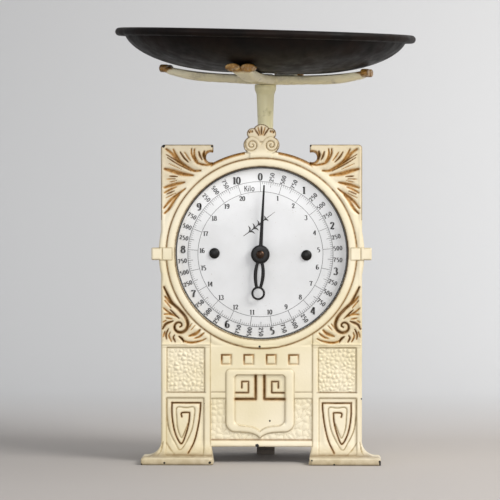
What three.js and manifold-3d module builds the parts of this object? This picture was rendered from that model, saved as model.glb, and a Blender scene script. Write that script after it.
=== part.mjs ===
// A spring-balance kitchen scale with a cast-iron front, an enamelled dial and a lift-off dish.
// Millimetres, +Z up. The origin is on the floor under the load column; the front faces -Y.
import * as THREE from "three";
import { TessellateModifier } from "three/addons/modifiers/TessellateModifier.js";
import { mergeVertices } from "three/addons/utils/BufferGeometryUtils.js";
import Module from "manifold-3d";

const wasm = await Module();
wasm.setup();

// ---- Fits and fastener sizes ----
const GAP = 0.3; // between pieces that touch, and round a fixed shank
const RUN = 0.1; // radial clearance of a turning or sliding fit
const SHANK_R = 1.5; // every small screw
const HEAD_R = 3;
const HEAD_T = 2;
const SHANK_SIDES = 8;
const ROUND_SIDES = 48; // on the dial, its opening and the ring round it

// ---- Front plate ----
const PLATE_X = -2.2; // centre line of the casting, beside the load column
const PLATE_HALF = 82.6;
const PLATE_TOP = 261.7;
const PLATE_BOTTOM = 13.3; // under edge of the apron between the feet
const PLATE_FRONT = -40;
const PLATE_T = 5;
const PLATE_BACK = PLATE_FRONT + PLATE_T;
const CORNER_R = 3;
const OPENING_Z = 172.4;
const OPENING_R = 71.05;
const RING_R = 84.5; // outside of the moulding round the opening
const RING_RISE = 1.2; // it stands this far in front of the plate
const FLANGE_T = 4; // wall of the short tube behind the opening
const FLANGE_DEPTH = 7;
const BLOCK_IN = 39.6; // inner end of each top corner block
const BITE_R = 4; // round notch between a block and the ring
const TAB_OUT = 90.5;
const TAB_Z = [166.9, 177];
const VOLUTE = { out: 7.8, z: 261.7, r: 7 };
const SHELL = { z: 271.2, r: 7.4, sideOut: 7.4, sideZ: 270.7, sideR: 4.5 };
const FOOT_IN_TOP = 41;
const FOOT_IN = 39;
const FOOT_OUT = 98;
const FLARE_Z = 24; // where the foot starts to flare sideways
const SWEEP_Z = 16; // where it starts to sweep forward
const FOOT_LIP = 3.4; // height of its front lip
const FOOT_REACH = 22; // how far it comes in front of the plate

// ---- Dial and pointer ----
const DIAL_X = PLATE_X - 1;
const DIAL_Z = OPENING_Z - 0.9;
const DIAL_R = OPENING_R - 1.95;
const DIAL_T = 1.2;
const DIAL_FRONT = PLATE_FRONT + 6;
const DIAL_SCREW_OUT = 37.9;
const DIAL_SCREW_TURN = 1.2; // degrees that the line of the two screws leans
const DIAL_SCREW_R = 4.4;
const DIAL_HOLE_R = 5;
const POINTER_T = 1.2;
const POINTER_FRONT = PLATE_FRONT + 1.4;
const POINTER_TIP = 57;
const POINTER_HUB_R = 7.6;
const POINTER_TAIL = 32; // centre of the ring on the tail
const POINTER_RING_R = 5.2;
const POINTER_TURN = 3.1; // degrees clockwise at rest
const SHAFT_R = 1.5;

// ---- Weighing mechanism ----
const WEIGH_TURN = 342; // degrees of dial for the full load
const PINION_TEETH = 16;
const TOOTH_MODULE = 0.5;
const PINION_R = (PINION_TEETH * TOOTH_MODULE) / 2;
const TRAVEL = (WEIGH_TURN * Math.PI * PINION_R) / 180;
const ADDENDUM = 0.42;
const DEDENDUM = 0.62;
const BACKLASH = 0.2;
const GEAR_Y = [-9, -4];
const WORKS_FRONT = -18;
const WORKS_T = 3;
const WORKS_BACK = WORKS_FRONT + WORKS_T;
const WORKS_HALF = 58;
const WORKS_Z = [36, 204];
const STEM_HALF = 24; // the narrow top of the works plate
const STEM_TOP = 236;
const PILLAR_R = 4;
const PILLAR_OUT = 50;
const PILLAR_ZS = [44, 92];
const BRIDGE_Y = [-1.5, 0.5]; // the plate that carries the rear bush
const BRIDGE_Z = [DIAL_Z - 6, DIAL_Z + 6];
const BRIDGE_LEGS = [[-23, -18], [14, 19]];
const BUSH_R = 3.5;
const BAR_Y = [5, 9];
const BAR_HALF = 9;
const BAR_Z = [100, 222];
const SOCKET_Z = [222, 238];
const SOCKET_HALF = 9;
const ARM_T = 6; // the cross arm that the springs pull
const RACK_BACK = 8;
const RACK_Z = [DIAL_Z - 21, DIAL_Z + TRAVEL + 20];
const RACK_SCREW_IN = 5; // from each end of the rack
const LINK_LENGTH = 46;
const LINK_PIN_X = -4;
const LINK_PIN_ZS = [205, 130];
const LINK_Y = [-14, -11.5];
const LINK_PIN_R = 2;
const LINK_EYE_R = 5.6;
const LINK_ANGLE = Math.atan2(TRAVEL / 2, LINK_LENGTH);

// ---- Springs and zero adjustment ----
const ZERO_Y = 20;
const SPRING_OUT = 34;
const SPRING_R = 6;
const SPRING_WIRE_R = 0.8;
const SPRING_TURNS = 10;
const HANGER_Z = [214, 218];
const HANGER_HALF = 42;
const BRACKET_Z = [226, 230];
const BRACKET_IN = 14;
const BRACKET_OUT = 20;
const ZERO_SCREW_R = 2.9;
const NUT_R = 7.5;
const NUT_SLEEVE_R = 5;
const NUT_Z = [252, 258];

// ---- Housing ----
const COVER_HALF = 78;
const COVER_WALL = 1.5;
const COVER_BACK = 45;
const COVER_BOTTOM = 22;
const BASE_T = 4;
const LUG_ZS = [45, 100];
const LUG_DEPTH = 11;
const BASE_SCREW_OUT = 30;
const BASE_BOSS_T = 10;
const LEG_X = -0.6;
const LEG_HALF = 7.5;
const LEG_Y = [30, 42];

// ---- Load column, support and dish ----
const COLUMN_R = 6.5;
const COLLAR_R = 8.95;
const COLLAR_Z = [307.5, 311.7];
const SPIGOT_R = 4.5;
const SPIGOT_T = 6;
const HUB_R = 12.5;
const HUB_Z = COLLAR_Z[1] + 0.6;
const STAR_Z = 314.5; // underside of the star at its middle
const STAR_T = 5;
const STAR_RISE = 6.2; // how much higher the arms' ends are
const STAR_EDGE = 16; // longest edge before the star is bowed
const SCREW_SINK = 1.2; // the support screw's head lies in a counterbore
const TIP_ABOVE = 0.8; // the tips stand above the arms
const STAR_TURN = -12; // degrees about the column
const TIP_R = 89;
const TIP_T = 5;
const LOBE_R = 5.6;
const LOBE_OUT = 6.4;
const PAN_LEAN = 1.6; // degrees that the support and dish lean to the right
const DISH_NOD = 1.2; // degrees that the dish leans forward in its seat
const DISH_R = 125;
const BEAD_R = 3.3;
const DISH_FLAT_R = 28;
const DISH_WALL_R = DISH_R - 6.8;
const DISH_DEPTH = 34.5;
const DISH_T = 1.4;

// ---- Colours and finishes ----
const FINISH = {
  cream: { color: 0xe3d9b5, roughness: 0.45, metalness: 0 },
  enamel: { color: 0xeeeeec, roughness: 0.2, metalness: 0 },
  black: { color: 0x17130f, roughness: 0.4, metalness: 0.2 },
  steel: { color: 0x9a9a98, roughness: 0.35, metalness: 1 },
  brass: { color: 0xa9823f, roughness: 0.35, metalness: 1 },
  darkSteel: { color: 0x241e1a, roughness: 0.45, metalness: 0.6 },
};

const root = new THREE.Group();
const radians = THREE.MathUtils.degToRad;

// ---- Solids ----

// A closed geometry as a solid that can be joined and cut.
function solid(geometry) {
  const bare = geometry.index ? geometry.toNonIndexed() : geometry.clone();
  bare.deleteAttribute("normal");
  bare.deleteAttribute("uv");
  const merged = mergeVertices(bare, 1e-4);
  return new wasm.Manifold(new wasm.Mesh({
    numProp: 3,
    vertProperties: merged.attributes.position.array,
    triVerts: new Uint32Array(merged.index.array),
  }));
}

function joined(parts) {
  return parts.reduce((whole, part) => whole.add(part));
}

function cut(whole, parts) {
  return parts.reduce((left, part) => left.subtract(part), whole);
}

function geometryOf(shape) {
  const mesh = shape.getMesh();
  const geometry = new THREE.BufferGeometry();
  geometry.setAttribute("position", new THREE.BufferAttribute(mesh.vertProperties, 3));
  geometry.setIndex(new THREE.BufferAttribute(mesh.triVerts, 1));
  const flat = geometry.toNonIndexed();
  flat.computeVertexNormals();
  return flat;
}

// Adds one named piece to a group.
function piece(name, shape, finish, group = root) {
  const mesh = new THREE.Mesh(geometryOf(shape), new THREE.MeshStandardMaterial(FINISH[finish]));
  mesh.name = name;
  group.add(mesh);
}

function block(x, y, z) {
  const box = new THREE.BoxGeometry(x[1] - x[0], y[1] - y[0], z[1] - z[0]);
  return solid(box.translate((x[0] + x[1]) / 2, (y[0] + y[1]) / 2, (z[0] + z[1]) / 2));
}

// A cylinder along one axis; across gives its centre on the two other axes, in X, Y, Z order.
function rod(axis, radius, span, across, sides = 14) {
  const shape = new THREE.CylinderGeometry(radius, radius, span[1] - span[0], sides);
  const middle = (span[0] + span[1]) / 2;
  if (axis === "x") shape.rotateZ(Math.PI / 2).translate(middle, across[0], across[1]);
  if (axis === "y") shape.translate(across[0], middle, across[1]);
  if (axis === "z") shape.rotateX(Math.PI / 2).translate(across[0], across[1], middle);
  return solid(shape);
}

// An outline in X and Z, extruded from front to back.
function slab(outline, front, back, segments = 6) {
  const settings = { depth: back - front, bevelEnabled: false, curveSegments: segments };
  return solid(new THREE.ExtrudeGeometry(outline, settings).rotateX(Math.PI / 2).translate(0, back, 0));
}

// An outline in Y and Z, extruded from left to right.
function stretch(outline, left, right, segments = 6) {
  const settings = { depth: right - left, bevelEnabled: false, curveSegments: segments };
  const shape = new THREE.ExtrudeGeometry(outline, settings).translate(0, 0, left);
  const yz = new THREE.Matrix4().set(0, 0, 1, 0, 1, 0, 0, 0, 0, 1, 0, 0, 0, 0, 0, 1);
  return solid(shape.applyMatrix4(yz));
}

// A turned piece on the Z axis: points are [radius, height], upwards round the outside.
function turned(points, sides = 24) {
  const profile = points.map(([r, z]) => new THREE.Vector2(r, z));
  return solid(new THREE.LatheGeometry(profile, sides).rotateX(Math.PI / 2));
}

function outlineOf(points) {
  return new THREE.Shape(points.map(([a, b]) => new THREE.Vector2(a, b)));
}

function moved(shape, x, y, z) {
  return shape.translate([x, y, z]);
}

// A screw along Y whose head is at headY; way is +1 when its shank runs towards +Y.
function screwY(x, z, headY, length, way) {
  const head = [headY, headY - way * HEAD_T].sort((a, b) => a - b);
  const shank = [headY - way * 0.5, headY + way * length].sort((a, b) => a - b);
  return rod("y", HEAD_R, head, [x, z]).add(rod("y", SHANK_R, shank, [x, z], SHANK_SIDES));
}

const shankHole = (x, z, span) => rod("y", SHANK_R + GAP, span, [x, z], SHANK_SIDES);

// ---- Front plate ----

// One foot, on the side given by +1 or -1: the flare seen from the front, cut by the forward sweep.
function foot(side) {
  const flare = new THREE.Shape();
  flare.moveTo(PLATE_X + side * FOOT_IN_TOP, FLARE_Z + 6);
  flare.lineTo(PLATE_X + side * FOOT_IN_TOP, PLATE_BOTTOM);
  flare.lineTo(PLATE_X + side * FOOT_IN, 0);
  flare.lineTo(PLATE_X + side * FOOT_OUT, 0);
  flare.lineTo(PLATE_X + side * (FOOT_OUT - 1), FOOT_LIP);
  const bend = [PLATE_X + side * (PLATE_HALF + 2), FOOT_LIP + 4];
  flare.quadraticCurveTo(bend[0], bend[1], PLATE_X + side * PLATE_HALF, FLARE_Z);
  flare.lineTo(PLATE_X + side * PLATE_HALF, FLARE_Z + 6);
  const sweep = new THREE.Shape();
  sweep.moveTo(PLATE_BACK, 0);
  sweep.lineTo(PLATE_FRONT - FOOT_REACH, 0);
  sweep.lineTo(PLATE_FRONT - FOOT_REACH, FOOT_LIP);
  sweep.quadraticCurveTo(PLATE_FRONT - 3, FOOT_LIP + 1, PLATE_FRONT, SWEEP_Z);
  sweep.lineTo(PLATE_FRONT, FLARE_Z + 6);
  sweep.lineTo(PLATE_BACK, FLARE_Z + 6);
  const front = slab(flare, PLATE_FRONT - FOOT_REACH - 1, PLATE_BACK);
  return front.intersect(stretch(sweep, PLATE_X - FOOT_OUT - 1, PLATE_X + FOOT_OUT + 1));
}

function disc(out, z, radius, sides = 20) {
  return rod("y", radius, [PLATE_FRONT, PLATE_BACK], [PLATE_X + out, z], sides);
}

// The crest at the top: a shell of three lobes on two volutes.
function rosette() {
  const parts = [disc(0, SHELL.z, SHELL.r)];
  for (const side of [-1, 1]) {
    parts.push(disc(side * SHELL.sideOut, SHELL.sideZ, SHELL.sideR, 16));
    parts.push(disc(side * VOLUTE.out, VOLUTE.z, VOLUTE.r, 18));
  }
  return joined(parts);
}

function roundedPlate() {
  const left = PLATE_X - PLATE_HALF;
  const right = PLATE_X + PLATE_HALF;
  const outline = new THREE.Shape();
  outline.moveTo(left, PLATE_BOTTOM);
  outline.lineTo(right, PLATE_BOTTOM);
  outline.lineTo(right, PLATE_TOP - CORNER_R);
  outline.absarc(right - CORNER_R, PLATE_TOP - CORNER_R, CORNER_R, 0, Math.PI / 2);
  outline.absarc(left + CORNER_R, PLATE_TOP - CORNER_R, CORNER_R, Math.PI / 2, Math.PI);
  return slab(outline, PLATE_FRONT, PLATE_BACK, 3);
}

// Cast bosses behind the plate, for the cover's side screws and the base plate's screws.
function plateBosses() {
  const parts = [];
  const lugOut = COVER_HALF - COVER_WALL - GAP;
  for (const side of [-1, 1]) {
    const lug = [PLATE_X + side * (lugOut - 10), PLATE_X + side * lugOut].sort((a, b) => a - b);
    for (const z of LUG_ZS) {
      parts.push(block(lug, [PLATE_BACK - 0.5, PLATE_BACK + LUG_DEPTH], [z - 5, z + 5]));
    }
    const x = PLATE_X + side * BASE_SCREW_OUT;
    const bottom = COVER_BOTTOM + BASE_T + GAP;
    parts.push(block([x - 5, x + 5], [PLATE_BACK - 0.5, PLATE_BACK + LUG_DEPTH], [bottom, bottom + BASE_BOSS_T]));
  }
  return joined(parts);
}

function plateHoles() {
  const holes = [];
  const lugY = PLATE_BACK + LUG_DEPTH / 2;
  for (const side of [-1, 1]) {
    const out = COVER_HALF - COVER_WALL;
    const span = [PLATE_X + side * (out - 7), PLATE_X + side * (out + 1)].sort((a, b) => a - b);
    for (const z of LUG_ZS) holes.push(rod("x", SHANK_R + GAP, span, [lugY, z], SHANK_SIDES));
    const x = PLATE_X + side * BASE_SCREW_OUT;
    holes.push(rod("z", SHANK_R + GAP, [COVER_BOTTOM, COVER_BOTTOM + BASE_T + 7], [x, lugY], SHANK_SIDES));
    for (const z of PILLAR_ZS) {
      const centre = [PLATE_X + side * PILLAR_OUT, z];
      holes.push(rod("y", PILLAR_R / 2 + GAP, [PLATE_BACK - 3, PLATE_BACK + 1], centre, SHANK_SIDES));
    }
  }
  return holes;
}

function frontPlate() {
  const centre = [PLATE_X, OPENING_Z];
  const top = [PLATE_X - BLOCK_IN, PLATE_X + BLOCK_IN];
  const gap = block(top, [PLATE_FRONT - 1, PLATE_BACK + 1], [OPENING_Z + 40, PLATE_TOP + 1]);
  const ring = rod("y", RING_R, [PLATE_FRONT - RING_RISE, PLATE_BACK], centre, ROUND_SIDES);
  const flange = rod("y", OPENING_R + FLANGE_T, [PLATE_FRONT, PLATE_BACK + FLANGE_DEPTH], centre, ROUND_SIDES);
  const tabs = [PLATE_X - TAB_OUT, PLATE_X + TAB_OUT];
  let plate = cut(roundedPlate(), [gap]);
  for (const side of [-1, 1]) {
    const bite = [PLATE_X + side * (BLOCK_IN + BITE_R / 2), PLATE_TOP - 6.4 - BITE_R];
    plate = cut(plate, [rod("y", BITE_R, [PLATE_FRONT - 2, PLATE_BACK + 1], bite, 14)]);
  }
  plate = joined([plate, ring, flange, rosette(), foot(-1), foot(1), plateBosses()]);
  plate = plate.add(block(tabs, [PLATE_FRONT, PLATE_BACK], TAB_Z));
  const opening = [PLATE_FRONT - RING_RISE - 1, PLATE_BACK + FLANGE_DEPTH + 1];
  plate = cut(plate, [rod("y", OPENING_R, opening, centre, ROUND_SIDES), ...plateHoles()]);
  piece("front_plate", plate, "cream");
}

// ---- Dial ----

// Where the dial screw on one side sits, as [x, z].
function dialScrewAt(side) {
  const lean = radians(DIAL_SCREW_TURN);
  const x = DIAL_X + side * DIAL_SCREW_OUT * Math.cos(lean);
  return [x, DIAL_Z - side * DIAL_SCREW_OUT * Math.sin(lean)];
}

function dial() {
  const back = DIAL_FRONT + DIAL_T;
  const span = [DIAL_FRONT - 1, back + 1];
  const holes = [rod("y", DIAL_HOLE_R, span, [DIAL_X, DIAL_Z])];
  for (const side of [-1, 1]) holes.push(shankHole(...dialScrewAt(side), span));
  const plate = rod("y", DIAL_R, [DIAL_FRONT, back], [DIAL_X, DIAL_Z], ROUND_SIDES);
  piece("dial_plate", cut(plate, holes), "enamel");
  const postFront = back + GAP;
  for (const [side, word] of [[-1, "left"], [1, "right"]]) {
    const at = dialScrewAt(side);
    const body = rod("y", PILLAR_R, [postFront, WORKS_FRONT - GAP], at);
    const spigot = rod("y", PILLAR_R / 2, [WORKS_FRONT - 1, WORKS_BACK], at, SHANK_SIDES);
    const bore = shankHole(...at, [postFront - 1, postFront + 8]);
    piece(`dial_post_${word}`, cut(body.add(spigot), [bore]), "brass");
    piece(`dial_screw_${word}`, dialScrew(at), "black");
  }
}

// A domed screw with its shank towards the works.
function dialScrew([x, z]) {
  const dome = [[0, 0], [DIAL_SCREW_R, 0], [DIAL_SCREW_R, 0.6], [DIAL_SCREW_R * 0.75, 1.7], [0, 2.3]];
  const head = turned(dome, 20).rotate([90, 0, 0]);
  const shank = rod("y", SHANK_R, [-0.3, DIAL_T + GAP + 7], [0, 0], SHANK_SIDES);
  return moved(head.add(shank), x, DIAL_FRONT - GAP, z);
}

// ---- Works frame ----

function worksPlate() {
  const left = PLATE_X - WORKS_HALF;
  const right = PLATE_X + WORKS_HALF;
  const outline = outlineOf([
    [left, WORKS_Z[0]],
    [right, WORKS_Z[0]],
    [right, WORKS_Z[1]],
    [STEM_HALF, WORKS_Z[1] + 10],
    [STEM_HALF, STEM_TOP],
    [-STEM_HALF, STEM_TOP],
    [-STEM_HALF, WORKS_Z[1] + 10],
    [left, WORKS_Z[1]],
  ]);
  const through = [WORKS_FRONT - 1, WORKS_BACK + 1];
  const holes = [rod("y", BUSH_R + GAP, through, [DIAL_X, DIAL_Z])];
  for (const side of [-1, 1]) {
    for (const z of PILLAR_ZS) holes.push(shankHole(PLATE_X + side * PILLAR_OUT, z, through));
    holes.push(rod("y", PILLAR_R / 2 + GAP, through, dialScrewAt(side), SHANK_SIDES));
    holes.push(shankHole(side * (BRACKET_IN + BRACKET_OUT) / 2, BRACKET_Z[0] - 8, through));
  }
  for (const leg of BRIDGE_LEGS) holes.push(shankHole((leg[0] + leg[1]) / 2, DIAL_Z, through));
  for (const z of LINK_PIN_ZS) {
    holes.push(shankHole(LINK_PIN_X - LINK_LENGTH, z - TRAVEL / 2, through));
  }
  piece("works_plate", cut(slab(outline, WORKS_FRONT, WORKS_BACK), holes), "steel");
}

function worksPillars() {
  for (const [side, word] of [[-1, "left"], [1, "right"]]) {
    PILLAR_ZS.forEach((z, row) => {
      const at = [PLATE_X + side * PILLAR_OUT, z];
      const name = `${row ? "upper" : "lower"}_${word}`;
      const body = rod("y", PILLAR_R, [PLATE_BACK + GAP, WORKS_FRONT - GAP], at);
      const spigot = rod("y", PILLAR_R / 2, [PLATE_BACK - 2.6, PLATE_BACK + 1], at, SHANK_SIDES);
      const bore = shankHole(...at, [WORKS_FRONT - 8, WORKS_FRONT]);
      piece(`works_pillar_${name}`, cut(body.add(spigot), [bore]), "brass");
      piece(`works_screw_${name}`, screwY(...at, WORKS_BACK + GAP, 9, -1), "steel");
    });
  }
}

function bridge() {
  const holes = [rod("y", BUSH_R + GAP, [BRIDGE_Y[0] - 1, BRIDGE_Y[1] + 1], [DIAL_X, DIAL_Z])];
  const ends = [BRIDGE_LEGS[0][0], BRIDGE_LEGS[1][1]];
  const parts = [block(ends, BRIDGE_Y, BRIDGE_Z)];
  BRIDGE_LEGS.forEach((leg, i) => {
    const x = (leg[0] + leg[1]) / 2;
    parts.push(block(leg, [WORKS_BACK + GAP, BRIDGE_Y[1]], BRIDGE_Z));
    holes.push(shankHole(x, DIAL_Z, [WORKS_BACK - 1, WORKS_BACK + 8]));
    const word = i ? "right" : "left";
    piece(`bridge_screw_${word}`, screwY(x, DIAL_Z, WORKS_FRONT - GAP, 9, 1), "steel");
  });
  piece("pinion_bridge", cut(joined(parts), holes), "brass");
}

// A flanged bush; the flange is on its front side.
function bush(name, front, back) {
  const at = [DIAL_X, DIAL_Z];
  const body = rod("y", BUSH_R, [front - 1, back], at);
  const flange = rod("y", BUSH_R + 1.5, [front - GAP - 1.5, front - GAP], at);
  const bore = rod("y", SHAFT_R + RUN, [front - 4, back + 1], at, 24);
  piece(name, cut(body.add(flange), [bore]), "brass");
}

// Shoulder pins that the two links turn on.
function linkPivots() {
  LINK_PIN_ZS.forEach((z, i) => {
    const at = [LINK_PIN_X - LINK_LENGTH, z - TRAVEL / 2];
    const parts = [
      rod("y", SHANK_R, [WORKS_FRONT, WORKS_BACK + 1], at, SHANK_SIDES),
      rod("y", LINK_PIN_R, [WORKS_BACK + GAP, LINK_Y[1] + 1], at),
      rod("y", LINK_PIN_R + 2, [LINK_Y[1] + GAP, LINK_Y[1] + GAP + 1.5], at),
    ];
    piece(`link_pivot_${i ? "lower" : "upper"}`, joined(parts), "steel");
  });
}

// A U-shaped bracket over the column that carries the zero adjustment.
function hangerBracket() {
  const parts = [];
  const holes = [rod("z", ZERO_SCREW_R + GAP, [BRACKET_Z[0] - 1, BRACKET_Z[1] + 1], [0, ZERO_Y])];
  const front = WORKS_BACK + GAP;
  const screwZ = BRACKET_Z[0] - 8;
  for (const [side, word] of [[-1, "left"], [1, "right"]]) {
    const arm = [side * BRACKET_IN, side * BRACKET_OUT].sort((a, b) => a - b);
    const x = side * (BRACKET_IN + BRACKET_OUT) / 2;
    parts.push(block(arm, [front, ZERO_Y + 7], BRACKET_Z));
    parts.push(block(arm, [front, front + 2.7], [BRACKET_Z[0] - 15, BRACKET_Z[1]]));
    holes.push(shankHole(x, screwZ, [front - 1, front + 4]));
    piece(`bracket_screw_${word}`, screwY(x, screwZ, front + 2.7 + GAP, 5.5, -1), "steel");
  }
  parts.push(block([-BRACKET_OUT, BRACKET_OUT], [ZERO_Y - 7, ZERO_Y + 7], BRACKET_Z));
  piece("hanger_bracket", cut(joined(parts), holes), "steel");
}

// ---- Load body: column, carrier, rack and support ----

const pinionCentreToRack = DIAL_X + PINION_R;

function rack() {
  const pitch = Math.PI * TOOTH_MODULE;
  const root_ = pinionCentreToRack + DEDENDUM;
  const tip = pinionCentreToRack - ADDENDUM;
  const slope = Math.tan(radians(20));
  const half = pitch / 4 - BACKLASH / 2;
  const points = [[RACK_BACK, RACK_Z[0]], [RACK_BACK, RACK_Z[1]], [root_, RACK_Z[1]]];
  const count = Math.round((TRAVEL + 16) / pitch);
  const turn = radians(POINTER_TURN) * PINION_R;
  for (let i = count; i >= 0; i -= 1) {
    const z = DIAL_Z + (i - 5) * pitch - turn;
    points.push([root_, z + half + DEDENDUM * slope]);
    points.push([tip, z + half - ADDENDUM * slope]);
    points.push([tip, z - half + ADDENDUM * slope]);
    points.push([root_, z - half - DEDENDUM * slope]);
  }
  points.push([root_, RACK_Z[0]]);
  const zs = [RACK_Z[0] + RACK_SCREW_IN, RACK_Z[1] - RACK_SCREW_IN];
  const holes = zs.map((z) => shankHole(RACK_BACK - 3.2, z, [GEAR_Y[0] - 1, GEAR_Y[1] + 1]));
  piece("rack", cut(slab(outlineOf(points), ...GEAR_Y), holes), "steel");
  zs.forEach((z, i) => {
    const screw = screwY(RACK_BACK - 3.2, z, GEAR_Y[0] - GAP, 10, 1);
    piece(`rack_screw_${i ? "upper" : "lower"}`, screw.intersect(rackScrewEnvelope(z)), "steel");
  });
  return zs;
}

// The rack's screw heads are small enough to clear the teeth.
function rackScrewEnvelope(z) {
  return rod("y", 2.4, [GEAR_Y[0] - HEAD_T - 1, GEAR_Y[1] + 9], [RACK_BACK - 3.2, z]);
}

function carrier(rackScrewZs) {
  const parts = [
    block([-BAR_HALF, BAR_HALF], BAR_Y, [BAR_Z[0], BAR_Z[1] + 1]),
    block([-SOCKET_HALF, SOCKET_HALF], [-SOCKET_HALF, SOCKET_HALF], SOCKET_Z),
    block([-BAR_HALF, BAR_HALF], [BAR_Y[0], ZERO_Y + 4], [BAR_Z[0], BAR_Z[0] + ARM_T]),
    block([-SPRING_OUT - 6, SPRING_OUT + 6], [ZERO_Y - 4, ZERO_Y + 4], [BAR_Z[0], BAR_Z[0] + ARM_T]),
  ];
  const holes = [rod("z", COLUMN_R + GAP, [SOCKET_Z[0] + 3, SOCKET_Z[1] + 1], [0, 0], 24)];
  for (const z of rackScrewZs) {
    parts.push(block([1, 8.5], [GEAR_Y[1] + GAP, BAR_Y[0] + 1], [z - 4, z + 4]));
    holes.push(shankHole(RACK_BACK - 3.2, z, [GEAR_Y[1], BAR_Y[0] + 1]));
  }
  const pinEnd = BAR_Y[1] + 1;
  for (const z of LINK_PIN_ZS) {
    holes.push(rod("y", LINK_PIN_R + GAP, [BAR_Y[0] - 1, pinEnd], [LINK_PIN_X, z], 16));
  }
  for (const side of [-1, 1]) {
    const at = [side * SPRING_OUT, ZERO_Y];
    holes.push(rod("z", SPRING_WIRE_R + GAP, [BAR_Z[0] - 1, BAR_Z[0] + ARM_T + 1], at, 10));
  }
  const setZ = (SOCKET_Z[0] + 3 + SOCKET_Z[1]) / 2;
  holes.push(rod("x", SHANK_R + GAP, [COLUMN_R, SOCKET_HALF + 1], [0, setZ], SHANK_SIDES));
  piece("load_carrier", cut(joined(parts), holes), "steel");
  const shank = rod("x", SHANK_R, [COLUMN_R + GAP, SOCKET_HALF + 1], [0, setZ], SHANK_SIDES);
  const head = rod("x", HEAD_R - 0.5, [SOCKET_HALF + GAP, SOCKET_HALF + GAP + 1.6], [0, setZ]);
  piece("column_set_screw", shank.add(head), "steel");
}

function carrierPins() {
  LINK_PIN_ZS.forEach((z, i) => {
    const at = [LINK_PIN_X, z];
    const shank = rod("y", LINK_PIN_R, [LINK_Y[0] - GAP, BAR_Y[1] - GAP], at);
    const collar = rod("y", LINK_PIN_R + 1.4, [LINK_Y[1] + GAP, LINK_Y[1] + GAP + 1.5], at);
    piece(`carrier_pin_${i ? "lower" : "upper"}`, shank.add(collar), "steel");
  });
}

function column() {
  const body = turned([
    [0, SOCKET_Z[0] + 3 + GAP],
    [COLUMN_R, SOCKET_Z[0] + 3 + GAP],
    [COLUMN_R, COLLAR_Z[0] - 26],
    [COLUMN_R + 0.85, COLLAR_Z[0] - 3.5],
    [COLLAR_R, COLLAR_Z[0]],
    [COLLAR_R, COLLAR_Z[1]],
    [SPIGOT_R, COLLAR_Z[1]],
    [SPIGOT_R, HUB_Z + SPIGOT_T],
    [0, HUB_Z + SPIGOT_T],
  ]);
  const bore = rod("z", SHANK_R + GAP, [HUB_Z - 4, HUB_Z + SPIGOT_T + 1], [0, 0], SHANK_SIDES);
  piece("load_column", cut(body, [bore]), "cream");
}

// How high the outside of the dish is above its flat bottom, at one radius.
function dishHeight(r) {
  const share = Math.max(r - DISH_FLAT_R, 0) / (DISH_WALL_R - DISH_FLAT_R);
  return DISH_DEPTH * (1 - Math.sqrt(1 - share * share));
}

const starRise = (r) => STAR_RISE * (r / TIP_R) ** 3;
const tipTop = STAR_Z + STAR_T + STAR_RISE + TIP_ABOVE;
const nodDrop = (TIP_R - TIP_T) * Math.sin(radians(DISH_NOD));
const dishSeat = tipTop + GAP + nodDrop - dishHeight(TIP_R - TIP_T);

// Bends a flat layer so that it rises towards the arms' ends.
function bowed(geometry) {
  const place = geometry.attributes.position;
  for (let i = 0; i < place.count; i += 1) {
    place.setZ(i, place.getZ(i) + starRise(Math.hypot(place.getX(i), place.getY(i))));
  }
  return geometry;
}

// The star seen from above: concave sides from tip to tip, and a window along each arm.
function starOutline() {
  const outline = new THREE.Shape();
  const tipIn = TIP_R - TIP_T;
  const tipHalf = LOBE_OUT + 2;
  for (let i = 0; i < 4; i += 1) {
    const turn = (i * Math.PI) / 2;
    const at = (r, across, bend = turn) => [
      r * Math.cos(bend) - across * Math.sin(bend),
      r * Math.sin(bend) + across * Math.cos(bend),
    ];
    if (i === 0) outline.moveTo(...at(tipIn, -tipHalf));
    outline.lineTo(...at(tipIn, tipHalf));
    const waist = at(HUB_R + 5, 0, turn + Math.PI / 4);
    outline.splineThru([
      new THREE.Vector2(...at(52, 8)),
      new THREE.Vector2(...waist),
      new THREE.Vector2(...at(52, -8, turn + Math.PI / 2)),
      new THREE.Vector2(...at(tipIn, -tipHalf, turn + Math.PI / 2)),
    ]);
    const slot = new THREE.Path();
    slot.moveTo(...at(HUB_R + 5, -3.4));
    slot.lineTo(...at(HUB_R + 5, 3.4));
    slot.lineTo(...at(47, 0.8));
    slot.lineTo(...at(47, -0.8));
    outline.holes.push(slot);
  }
  return outline;
}

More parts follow.
